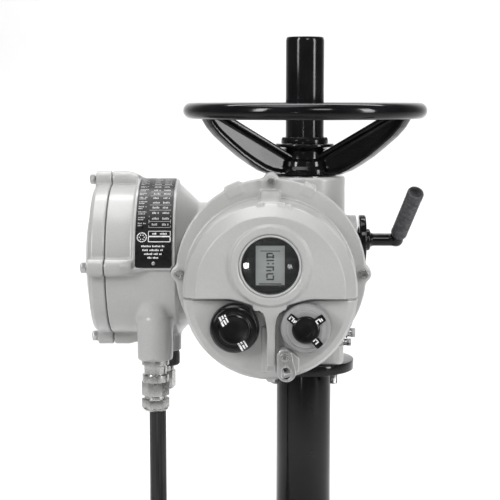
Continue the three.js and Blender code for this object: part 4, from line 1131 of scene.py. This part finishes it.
RIM_RADIUS, RIM_TUBE, RIM_HEIGHT = 140.0, 9.7, 535.5
SPOKE_LOW = [(20, 456.5), (40, 456.7), (50, 458.5), (62, 463), (76, 471), (91.5, 481), (107, 493),
             (122, 505.4), (132, 516), (139, 527)]
SPOKE_TURNS = (210, 330, 90)


def spoke_field(turn):
    """An I-section arm: a thin web between a curved lower flange and a straight upper one."""
    angle = math.radians(turn)
    low = np.array(SPOKE_LOW, float)
    web = np.array([*(low + (-0.8, 2.6)), (132, 539.5), (18, 476)])
    low_flange = np.array([*low, *(low + (-1.5, 5.2))[::-1]])
    top_flange = np.array([(18, 479.5), (20, 474.6), (136, 537), (134, 543)])

    def field(p):
        x = p[:, X] * math.cos(angle) + p[:, Y] * math.sin(angle)
        y = p[:, Y] * math.cos(angle) - p[:, X] * math.sin(angle)
        z = p[:, Z]
        found = thick(loop_distance(x, z, web), y, -3.6, 3.6, 0.5)
        found = blend_low(found, thick(loop_distance(x, z, low_flange), y, -10, 10, 1.6), 5)
        found = blend_low(found, thick(loop_distance(x, z, top_flange), y, -9.5, 9.5, 1.8), 5)
        hub = np.hypot(p[:, X], p[:, Y])
        found = -blend_low(-found, hub - 24.8, 0.5)
        rim = np.hypot(hub - RIM_RADIUS, z - RIM_HEIGHT) - RIM_TUBE
        return -blend_low(-found, rim + 2.5, 0.5)
    return field


def build_handwheel():
    hub = lathe([(27.3, 456), (33, 456), (34.5, 457.5), (34.5, 464), (31, 468), (30, 474), (25, 477),
                 (25, 486), (29, 489.5), (36, 491.5), (36, 495), (20, 495), (20, 474.3), (27.3, 474.3)],
                corner=1.2, sides=128, closed=True)
    piece("handwheel_hub_cast", "black_paint", "handwheel", ["handwheel_hub"], hub)
    rim = lathe(arc((RIM_RADIUS, RIM_HEIGHT), RIM_TUBE, 0, 360, 40)[:-1], corner=0, sides=256, closed=True)
    piece("handwheel_rim_cast", "black_paint", "handwheel", ["handwheel_rim"], rim)
    for i, turn in enumerate(SPOKE_TURNS, 1):
        thing = casting(f"handwheel_spoke_{i}_cast", spoke_field(turn), f"handwheel_spoke_{i}", 1.5)
        dress(thing, "black_paint", "handwheel", [f"handwheel_spoke_{i}"])
    tube = lathe([(20.5, 495.3), (23.5, 495.3), (23.5, 621), (22.4, 625), (0, 625), (0, 621), (20.5, 621)],
                 corner=1.4, sides=128)
    piece("stem_cover_tube_capped", "black_paint", "handwheel", ["stem_cover_tube"], tube)
    collar = lathe([(23.8, 495.3), (29, 495.3), (29, 500), (27.5, 503), (23.8, 503)],
                   corner=0.9, sides=128, closed=True)
    piece("stem_cover_collar_turned", "black_paint", "handwheel", ["stem_cover_collar"], collar)


build_handwheel()

# ---------------------------------------------------------------- hand lever

ELBOW = np.array((110.0, lever_at[Y], lever_at[Z]))
GRIP_RISE = np.array((16.6, -60.0, 61.7))
GRIP_LENGTH = float(np.linalg.norm(GRIP_RISE))


def aimed(direction):
    """A turn that takes +Z to a direction."""
    along = direction / np.linalg.norm(direction)
    across = np.cross((0, 0, 1), along)
    across = across / np.linalg.norm(across)
    return np.stack([across, np.cross(along, across), along], 1)


GRIP_TURN = aimed(GRIP_RISE)


def rod_field(start, end, radius):
    start, end = np.asarray(start, float), np.asarray(end, float)

    def field(p):
        share = np.clip((p - start) @ (end - start) / ((end - start) @ (end - start)), 0, 1)
        return np.linalg.norm(p - start - share[:, None] * (end - start), axis=1) - radius
    return field


def build_lever():
    side = lever_at * (0, 1, 1)
    disc = drum(RIGHT, side, 30, 64.3, 72.5, 1.8)
    recess = drum(RIGHT, side, 23, 71.3, 80, 1)
    hub = drum(RIGHT, side, 13, 64.3, 78, 2)
    shaft = drum(RIGHT, side, 8, 45, 70, 0.8)
    rod = rod_field(side + (70, 0, 0), ELBOW, 7.6)
    core = rod_field(ELBOW, ELBOW + GRIP_RISE * 0.85, 5)
    knuckle = rod_field(ELBOW, ELBOW + GRIP_RISE * 0.07, 7.6)
    arm = merge(3, merge(5, carve(1.5, disc, recess), hub, rod), shaft, merge(3, knuckle, core))
    dress(casting("lever_arm_bent", arm, "lever_arm", 1.2), "black_paint", "lever", ["lever_arm"])
    ribs = []
    for k in range(9):
        z = 20 + k * 6.2
        ribs += [(9.0, z - 1.2), (9.65, z + 0.6), (9.65, z + 2.6), (9.0, z + 4.4)]
    profile = [(5.3, 10), (8.2, 10), (9.75, 12.5), (9.75, 16), *ribs, (9.75, 77), (9.75, GRIP_LENGTH - 1.8),
               (9.0, GRIP_LENGTH), (7.6, GRIP_LENGTH), (7.2, GRIP_LENGTH - 7), (0, GRIP_LENGTH - 7)]
    grip = lathe(profile, ELBOW, GRIP_TURN, 0.9, 72)
    piece("lever_grip_moulded", "grip_rubber", "lever", ["lever_grip"], grip)


build_lever()

# ---------------------------------------------------------------- control cover's window, knobs and lock

GLASS_FRONT = 232.0
LETTER, LETTER_GAP, WORD_GAP = 1.15, 0.5, 1.3


def print_row(x, y, width, height, seed):
    """Bars like a line of small print: words of a few letters, the same every run."""
    bars, here, k = [], x, seed
    while here < x + width - LETTER:
        for _ in range(3 + k * 7 % 5):
            if here > x + width - LETTER:
                break
            tall = height * (1.0, 0.72, 0.86)[k % 3]
            bars.append((here + LETTER / 2, y + (tall - height) / 2, LETTER, tall))
            here += LETTER + LETTER_GAP
            k += 1
        here += WORD_GAP
    return bars


def frame_bars(x, y, width, height, line=0.5):
    return [(x, y + height / 2, width, line), (x, y - height / 2, width, line),
            (x - width / 2, y, line, height), (x + width / 2, y, line, height)]


def bar_prints(bars, height, at, facing, turn=0.0):
    """Thin printed rectangles on a flat face, turned about the axis that it faces along."""
    shapes = []
    for x, y, width, tall in bars:
        loop = np.array(box_loop(x, y, width, tall)) @ flat_turn(turn)
        flat_points = np.array([(u, v, height) for u, v in loop])
        shapes.append((flat_points @ turn_of(facing).T + np.asarray(at, float), [(0, 1, 2, 3)]))
    return shapes


def draped(bars, lift, at, facing, turn, place, profile):
    """Printed rectangles laid on a turned face: each cell takes the height of the profile at its radius."""
    radii, heights = zip(*sorted(profile))
    shapes = []
    for x, y, width, tall in bars:
        across, along = max(2, int(width) + 1), max(2, int(tall) + 1)
        grid = np.array([(u, v) for v in np.linspace(y - tall / 2, y + tall / 2, along)
                         for u in np.linspace(x - width / 2, x + width / 2, across)])
        grid = grid @ flat_turn(turn) + place
        rise = np.interp(np.hypot(*grid.T), radii, heights) + lift
        faces = [(j * across + i, j * across + i + 1, (j + 1) * across + i + 1, (j + 1) * across + i)
                 for j in range(along - 1) for i in range(across - 1)]
        shapes.append((np.column_stack([grid, rise]) @ turn_of(facing).T + np.asarray(at, float), faces))
    return shapes


def build_window():
    at = glass_at * (1, 0, 1)
    dome = [(33.5, 226.4), (33.5, 230.3), (31.4, 230.5)]
    dome += [(r, GLASS_FRONT - 1.4 * (r / 31.2) ** 2) for r in np.linspace(31.2, 0, 14)]
    glass = lathe([(0, 226.4), *dome], at, FRONT, 0.2, 128)
    bead = [(31.3, 230.6), (33.6, 230.6), (33.6, 232.2), (32.2, 232.6), (31.3, 231.8)]
    piece("window_glass_lens", "glass", "housing", ["window_glass"], glass,
          marks=[(FINISHES["grey_casting"], [lathe(bead, at, FRONT, 0.2, 128, True)])])
    cheek = [(30.3 * math.cos(a), 30.3 * math.sin(a)) for a in np.linspace(-1.0336, 1.0336, 40)]
    brow = [(-15.5, 21.5), (15.5, 21.5)] + \
        [(30.3 * math.sin(a), 30.3 * math.cos(a)) for a in np.linspace(0.5372, -0.5372, 24)]
    bezel = [plate([[(x * side, y * side) for x, y in loop]], 219.2, 225.4, at, FRONT, 0.4)
             for loop in (cheek, brow) for side in (1, -1)]
    tabs = [plate([box_loop(side * 20.5, 0, 5, 30, 1.5)], 225.0, 225.9, at, FRONT, 0.3)
            for side in (-1, 1)]
    pins = [lathe([(0, 225), (1.4, 225), (1.4, 226), (0, 226)], at + (side * 20.5, 0, up * 20), FRONT, 0.3, 16)
            for side in (-1, 1) for up in (-1, 1)]
    piece("display_bezel_frame", "black_plastic", "housing", ["display_bezel"], *bezel, *tabs, *pins)
    face = 218.7
    panel = plate([box_loop(0, 0, 34, 46, 1)], 206.3, face, at, FRONT, 0.3)
    glyphs = [(0, 14.8, 21, 0.9), (0, -20.2, 24, 1.2)]
    glyphs += [(-3.2, 9.8, 1.8, 5.6), (3.2, 9.0, 1.8, 4), (0, 12.2, 5.4, 1.7), (0, 8.4, 5, 1.6),
               (0, 4.8, 8, 1.6)]
    glyphs += [(-2.0, 1.4, 1.9, 1.7), (3, 1.4, 1.9, 1.7), (0, -2.2, 8.2, 1.7), (3.2, -4.6, 1.7, 3.2),
               (-1.5, -6, 5.6, 1.6)]
    glyphs += [(-3.4, -11.4, 1.7, 4.6), (0.4, -9.4, 6, 1.6), (3.4, -12.8, 1.7, 3.4), (0, -15.4, 8, 1.7)]
    piece("display_panel_cell", "screen", "housing", ["display_panel"], panel,
          marks=[(DARK_PRINT, bar_prints(glyphs, face + 0.05, at, FRONT))])
    centre = middle("display_board") * (1, 0, 1)
    board = plate([box_loop(0, 0, 104, 76, 3)], 204, 206, centre, FRONT, 0.3)
    outlines = ((-36, 18, 12, 12), (-38, -8, 8, 14), (36, 20, 10, 8), (38, 0, 14, 6), (34, -18, 8, 8))
    chips = [plate([box_loop(*outline, 0.5)], 205.9, 207.5, centre, FRONT, 0.3) for outline in outlines]
    piece("display_board_populated", "circuit_board", "housing", ["display_board"], board,
          marks=[(FINISHES["black_plastic"], chips)])
    seat = ring_at * (1, 0, 1)
    seal = lathe(arc((100.2, 104.8), 0.78, 0, 360, 12)[:-1], seat, FRONT, 0, 160, True)
    flange = ring_shape(97.2, 102.8, 104.05, 105.55, seat, FRONT, 0.4, 160)
    piece("control_cover_seal_ring", "seal_rubber", "housing", ["control_cover_seal"], seal, flange)
    for name, place in zip(("top", "left", "right", "bottom"), ring_places()):
        cap_screw(f"control_cover_screw_{name}", place, FRONT, 87.5, 120.3)


KNOB_BACK = [(0, 205), (4.6, 205), (4.6, 220.5), (26, 220.5), (27, 223)]


def build_mode_knob():
    at = mode_at * (1, 0, 1)
    front = [(0, 241.0), (10, 241.4), (14.6, 242), (16.6, 241.2), (17.7, 239), (18.4, 237.8), (21, 238),
             (24, 237), (26, 234.6), (27, 231)]
    body = lathe([*KNOB_BACK, *front[::-1]], at, FRONT, 1.2, 128)
    marks = []
    label = [(0, -3.2, 10.5, 2.2), (-3.6, 0.1, 3.2, 1.9), (2.0, 0.1, 5.4, 1.9), (-0.6, 3.1, 8.6, 1.7)]
    for place in ((-11.0, 10.2), (9.4, -17.4)):
        marks += draped(label, 0.12, at, FRONT, -62, place, front)
    piece("mode_knob_moulded", "knob_black", "mode_knob", ["mode_knob"], body, marks=[(WHITE_PRINT, marks)])


def build_command_knob():
    at = command_at * (1, 0, 1)
    body = lathe([*KNOB_BACK, (27, 231), (25.5, 234), (21.5, 235.2), (20.5, 237.4), (18.5, 238), (0, 238)],
                 at, FRONT, 1.2, 128)
    piece("command_knob_moulded", "knob_grey", "command_knob", ["command_knob"], body)
    low, high = 238.3, 241.5
    hub = lathe([(0, low), (15, low), (15, high - 1.2), (13.2, high), (9, high - 0.3), (0, high - 1.2)],
                at, FRONT, 1.0, 96)
    rows = [(-3.6, 0, 1.4, 4.4), (-1.9, 1.6, 2.0, 1.2), (0.2, 0, 1.4, 4.4), (2.4, -0.6, 1.6, 3.2),
            (4.2, 0.4, 1.2, 2.4)]
    arms, marks = [], []
    for k, angle in enumerate((141, 36, -49)):
        outline = np.array(rounded([(6, -4.6), (24, -4.2), (24, 4.2), (6, 4.6)], 1.8, 5, True))
        outline = [tuple(p) for p in outline @ flat_turn(angle)]
        arms.append(plate([outline], low, high - 0.4, at, FRONT, 0.5))
        x, z = polar(18.0, angle)
        marks += bar_prints(rows[:5 - k], high - 0.33, at + (x, 0, z), FRONT, angle if k else angle + 180)
    piece("command_knob_insert_hub", "knob_black", "command_knob", ["command_knob_insert"], hub, *arms,
          marks=[(WHITE_PRINT, marks)])


def build_lock():
    at = tab_at * (1, 0, 1)
    upper, lower = (0.0, 0.0, 8.4), (2.2, -17.2, 10.2)
    lean = math.degrees(math.atan2(lower[0], -lower[1]))
    open_by = math.degrees(math.asin((lower[2] - upper[2]) / math.hypot(lower[0], lower[1])))
    outline = arc(upper[:2], upper[2], lean - open_by, lean + 180 + open_by, 24) + \
        arc(lower[:2], lower[2], lean + 180 + open_by, lean + 360 - open_by, 24)
    slot = arc((1.7, -16.4), 4.8, 0, 180, 14) + arc((1.7, -19.8), 4.8, 180, 360, 14)
    tab = plate([outline, slot, circle((0, 0), 3.2, 32)], 238.5, 242.4, at, FRONT, 0.6)
    piece("lock_tab_plate", "stainless", "lock_tab", ["lock_tab"], tab)
    shank = lathe([(0, 224), (2.6, 224), (2.6, 244), (0, 244)], at, FRONT, 0.3, 32)
    washer = ring_shape(2.5, 6.2, 242.75, 243.5, at, FRONT, 0.25, 48)
    head = plate([circle((0, 0), 4.9, 48), hex_loop(2.2)], 243.4, 246.0, at, FRONT, 0.5)
    floor = lathe([(0, 243.4), (4, 243.4), (4, 243.9), (0, 243.9)], at, FRONT, 0.1, 32)
    piece("lock_tab_screw_cap", "plated_steel", "housing", ["lock_tab_screw"], shank, washer, head, floor)


build_window()
build_mode_knob()
build_command_knob()
build_lock()

# ---------------------------------------------------------------- control module and terminal end


def build_module():
    at = ring_at * (1, 0, 1)
    body = lathe([(0, 71), (58, 71), (60, 73), (60, 97), (57, 101), (40, 101), (39, 99.5), (20, 99.5),
                  (19, 101), (0, 101)], at, FRONT, 1, 96)
    sockets = [plate([box_loop(x, y, 26, 9, 1)], 99, 100.9, at, FRONT, 0.4)
               for x in (-28, 28) for y in (-24, 24)]
    piece("control_module_case", "black_plastic", "housing", ["control_module"], body, *sockets)


def curved_prints(bars, radius, side):
    """Printed rectangles bent round the housing: u runs along it and v round it, in mm."""
    shapes = []
    for u, v, width, tall in bars:
        steps = max(2, int(tall / 4) + 1)
        rows = np.linspace(v - tall / 2, v + tall / 2, steps)
        points = []
        for row in rows:
            angle = row / radius
            y, z = -radius * math.cos(angle), radius * math.sin(angle)
            points += [(u - width / 2 - PLATE_LEFT, y, z), (u + width / 2 - PLATE_LEFT, y, z)]
        faces = [(2 * k, 2 * k + 1, 2 * k + 3, 2 * k + 2) for k in range(steps - 1)]
        shapes.append((np.array(points) + side, faces))
    return shapes


ROW_PITCH, FIRST_ROW = 7.8, 52.0
PLATE_CORNER = 3.0


def table_bars(length):
    """The upper part of the plate: short rows at the left, a ruled table at the right."""
    bars = []
    for k in range(int((length - 6 - FIRST_ROW) / ROW_PITCH) + 1):
        v = FIRST_ROW + k * ROW_PITCH
        bars += print_row(2.6, v + 1.4, 9.5, 1.7, k) + print_row(2.6, v - 1.4, 6 + k % 3 * 1.5, 1.7, k + 2)
        bars += print_row(19, v, 8, 3.0, k + 3) + print_row(31, v, 9, 3.0, k + 5)
        bars += [(28.2, v - ROW_PITCH / 2, 25.4, 0.5)] if k % 3 < 2 else []
        bars += [(15.5, v, 0.5, ROW_PITCH), (40.9, v, 0.5, ROW_PITCH)] if k < 2 else []
    return bars


def badge_bars():
    """The lower part of the plate: a ring, two boxes and four centred rows."""
    bars = frame_bars(28.2, 40.4, 25.4, 6.0, 0.6) + frame_bars(28.2, 33.6, 25.4, 6.0, 0.9)
    bars += print_row(20, 40.4, 6, 2.2, 4) + print_row(29, 40.4, 9, 2.2, 1)
    for k, (v, width) in enumerate(((25.4, 28), (20.8, 25), (16.3, 21), (11.9, 13))):
        bars += print_row(21.3 - width / 2, v, width, 2.1, k + 2)
    for reach, count, size in ((5.4, 18, 1.3), (2.9, 6, 1.2)):
        for k in range(count):
            x, y = polar(reach, 360 * k / count)
            bars.append((7.8 + x, 36 + y, size, size))
    return bars


def build_nameplate():
    side = terminal_at * (0, 1, 1)
    inner, outer = 97.6, 98.6
    length = outer * math.pi / 2
    width = PLATE_LEFT - PLATE_RIGHT
    corner_rows = np.linspace(0, PLATE_CORNER, 9)
    rows = [*corner_rows, *np.linspace(PLATE_CORNER, length - PLATE_CORNER, 62)[1:-1],
            *(length - corner_rows[::-1])]
    around, columns = len(rows) - 1, 12
    vertices, faces = [], []
    for radius in (outer, inner):
        for v in rows:
            cut = 0.0
            for end in (v, length - v):
                if end < PLATE_CORNER:
                    cut = PLATE_CORNER - math.sqrt(PLATE_CORNER ** 2 - (PLATE_CORNER - end) ** 2)
            for j in range(columns + 1):
                u = cut + (width - 2 * cut) * j / columns
                angle = v / outer
                vertices.append((u - PLATE_LEFT, -radius * math.cos(angle), radius * math.sin(angle)))
    row = columns + 1
    layer = (around + 1) * row
    for i in range(around):
        for j in range(columns):
            a = i * row + j
            faces.append((a, a + 1, a + row + 1, a + row))
            faces.append((layer + a, layer + a + row, layer + a + row + 1, layer + a + 1))
    border = [*range(0, around * row, row), *range(around * row, layer), *range(around * row - 1, 0, -row),
              *range(columns - 1, 0, -1)]
    for a, b in zip(border, border[1:] + border[:1]):
        faces.append((a, b, layer + b, layer + a))
    sheet = (np.array(vertices) + side, faces)
    table = curved_prints(table_bars(length), outer + 0.06, side)
    badge = curved_prints(badge_bars(), outer + 0.06, side)
    rivets = []
    for u, v in ((width / 2, 5.2), (width / 2, length - 5)):
        angle = v / outer
        outward = np.array((0, -math.cos(angle), math.sin(angle)))
        place = side + (u - PLATE_LEFT, 0, 0) + outer * outward
        rivets.append(lathe([(0, -0.4), (2.3, -0.4), (2.1, 0.5), (1.2, 1.0), (0, 1.1)],
                            place, aimed(outward), 0.3, 24))
    piece("nameplate_etched", "label", "housing", ["nameplate"], sheet,
          marks=[(ETCHED_PRINT, table), (WHITE_PRINT, badge), (FINISHES["stainless"], rivets)])


def build_terminal_end():
    side = terminal_at * (0, 1, 1)
    seal = ring_shape(85, 91.2, 235.5, 236.5, side, LEFT, 0.3, 160)
    piece("terminal_cover_seal_ring", "seal_rubber", "housing", ["terminal_cover_seal"], seal)
    for name, place in zip(("top", "bottom", "front", "rear"), cover_places()):
        hex_bolt(f"terminal_cover_screw_{name}", place, LEFT, 3.9, 6.9, 213, 255.8, 7.5)
    base = lathe([(0, 196), (81, 196), (83, 198), (83, 203), (80, 205), (0, 205)], side, LEFT, 1, 128)
    post = [(0, 204), (4.6, 204), (4.6, 208), (2.4, 208), (2.4, 210), (0, 210)]
    posts = [lathe(post, side + (0, *polar(ring, 360 * k / count)), LEFT, 0.4, 16)
             for ring, count in ((62, 22), (44, 16)) for k in range(count)]
    piece("terminal_block_posts", "black_plastic", "housing", ["terminal_block"], base, *posts)


build_module()
build_nameplate()
build_terminal_end()

# ---------------------------------------------------------------- cable gland and blanking plug


def build_entries():
    at = gland_at * (1, 1, 0)
    low_hex = plate([hex_loop(16.5, 4), circle((0, 0), 10.5, 48)], 195.6, 213.5, at, UP, 0.9)
    neck = lathe([(10.5, 212.5), (15.7, 212.5), (15.7, 221.8), (13.3, 221.8), (13.3, 224), (13.8, 232.4),
                  (16.5, 233.5), (16.5, 239.7), (12.2, 239.7), (12.2, 259.5), (10.5, 259.5)],
                 at, UP, 0.6, 96, True)
    top_hex = plate([hex_loop(16.6, 30), circle((0, 0), 12, 48)], 233.2, 239.6, at, UP, 0.8)
    piece("gland_body_nickel", "nickel_brass", "housing", ["gland_body"], low_hex, neck, top_hex)
    nut = plate([hex_loop(16.5, 8), circle((0, 0), 10.5, 48)], 180.5, 192.7, at, UP, 1.1)
    crown = lathe([(10.5, 177.8), (13.4, 177.8), (15.2, 179.6), (15.2, 181.5), (10.5, 181.5)],
                  at, UP, 0.8, 96, True)
    ring = ring_shape(10.5, 13.3, 192, 195.3, at, UP, 0.5)
    piece("gland_nut_nickel", "nickel_brass", "housing", ["gland_nut"], nut, crown, ring)
    at = spare_at * (1, 1, 0)
    collar = lathe([(0, 221), (16.5, 221), (18, 222.5), (18, 236), (16.5, 239.7), (12.2, 239.7), (12.2, 256),
                    (0, 256)], at, UP, 0.8, 96)
    grips = [plate([box_loop(17.6, 0, 1.2, 2.2, 0.4)], 223, 235, at, spun(a), 0.2)
             for a in range(0, 360, 20)]
    piece("blanking_adaptor_moulded", "black_plastic", "housing", ["blanking_adaptor"], collar, *grips)
    head = plate([hex_loop(13, 15)], 192.5, 214, at, UP, 1.0)
    cap = lathe([(0, 190.8), (9.5, 190.8), (10.8, 192), (10.8, 193), (0, 193)], at, UP, 0.6, 64)
    stem = lathe([(0, 213), (11, 213), (11, 220.7), (0, 220.7)], at, UP, 0.5, 64)
    piece("blanking_plug_nickel", "nickel_brass", "housing", ["blanking_plug"], head, cap, stem)


build_entries()

# ---------------------------------------------------------------- floor and light


def studio_floor():
    """A plain pale floor that curves up into a backdrop."""
    width, front, back, height, bend = 9000, -6000, 2600, 6000, 900
    section = [(front, 0), *arc((back - bend, bend), bend, -90, 0, 9), (back, height)]
    vertices = [(side * width, y, z) for y, z in section for side in (-1, 1)]
    faces = [(2 * i, 2 * i + 1, 2 * i + 3, 2 * i + 2) for i in range(len(section) - 1)]
    floor = mesh_object("studio_floor", vertices, faces, 60)
    paper = Paper("studio_paper", (0.84, 0.84, 0.84), 0.9)
    paper.colour(paper.mix(paper.spread(paper.noise(3), 0, 1), (0.83, 0.83, 0.83), (0.85, 0.85, 0.85)))
    floor.data.materials.append(paper.material)


def add_light(name, place, target, size, power, spread=180):
    """A rectangular lamp aimed at a target; distances in metres, power in watts."""
    data = bpy.data.lights.new(name, "AREA")
    data.shape = "RECTANGLE"
    data.size, data.size_y = size
    data.energy = power
    data.spread = math.radians(spread)
    light = add_object(name, data)
    light.location = place
    aim = np.array(target, float) - np.array(place, float)
    yaw = math.atan2(aim[0], -aim[1])
    pitch = math.atan2(math.hypot(aim[0], aim[1]), -aim[2])
    light.rotation_euler = (pitch, 0, math.pi + yaw)


def add_lights():
    gearcase = (0, 0, 0.4)
    add_light("left_softbox", (-1.5, -1.6, 1.3), gearcase, (0.4, 1.5), 6.2, 70)
    add_light("right_softbox", (1.7, -1.1, 0.9), gearcase, (0.4, 1.6), 5.4, 70)
    add_light("top_softbox", (-0.3, -0.2, 2.0), gearcase, (1.0, 1.0), 2.0, 70)
    add_light("front_fill", (0.5, -1.9, 1.6), gearcase, (0.6, 0.6), 1.2, 60)
    add_light("catch_light", (-0.46, -2.6, 0.08), (0, 0, 0.35), (0.10, 0.10), 0.8)
    add_light("backdrop_light", (0, 0.9, 2.6), (0, 2.4, 0.2), (3.0, 0.8), 82)
    world = bpy.data.worlds.new("studio")
    world.use_nodes = True
    sky = world.node_tree.nodes["Background"]
    sky.inputs["Color"].default_value = (1, 1, 1, 1)
    sky.inputs["Strength"].default_value = 0.12
    bpy.context.scene.world = world


studio_floor()
add_lights()
bpy.context.scene.view_settings.view_transform = "Standard"
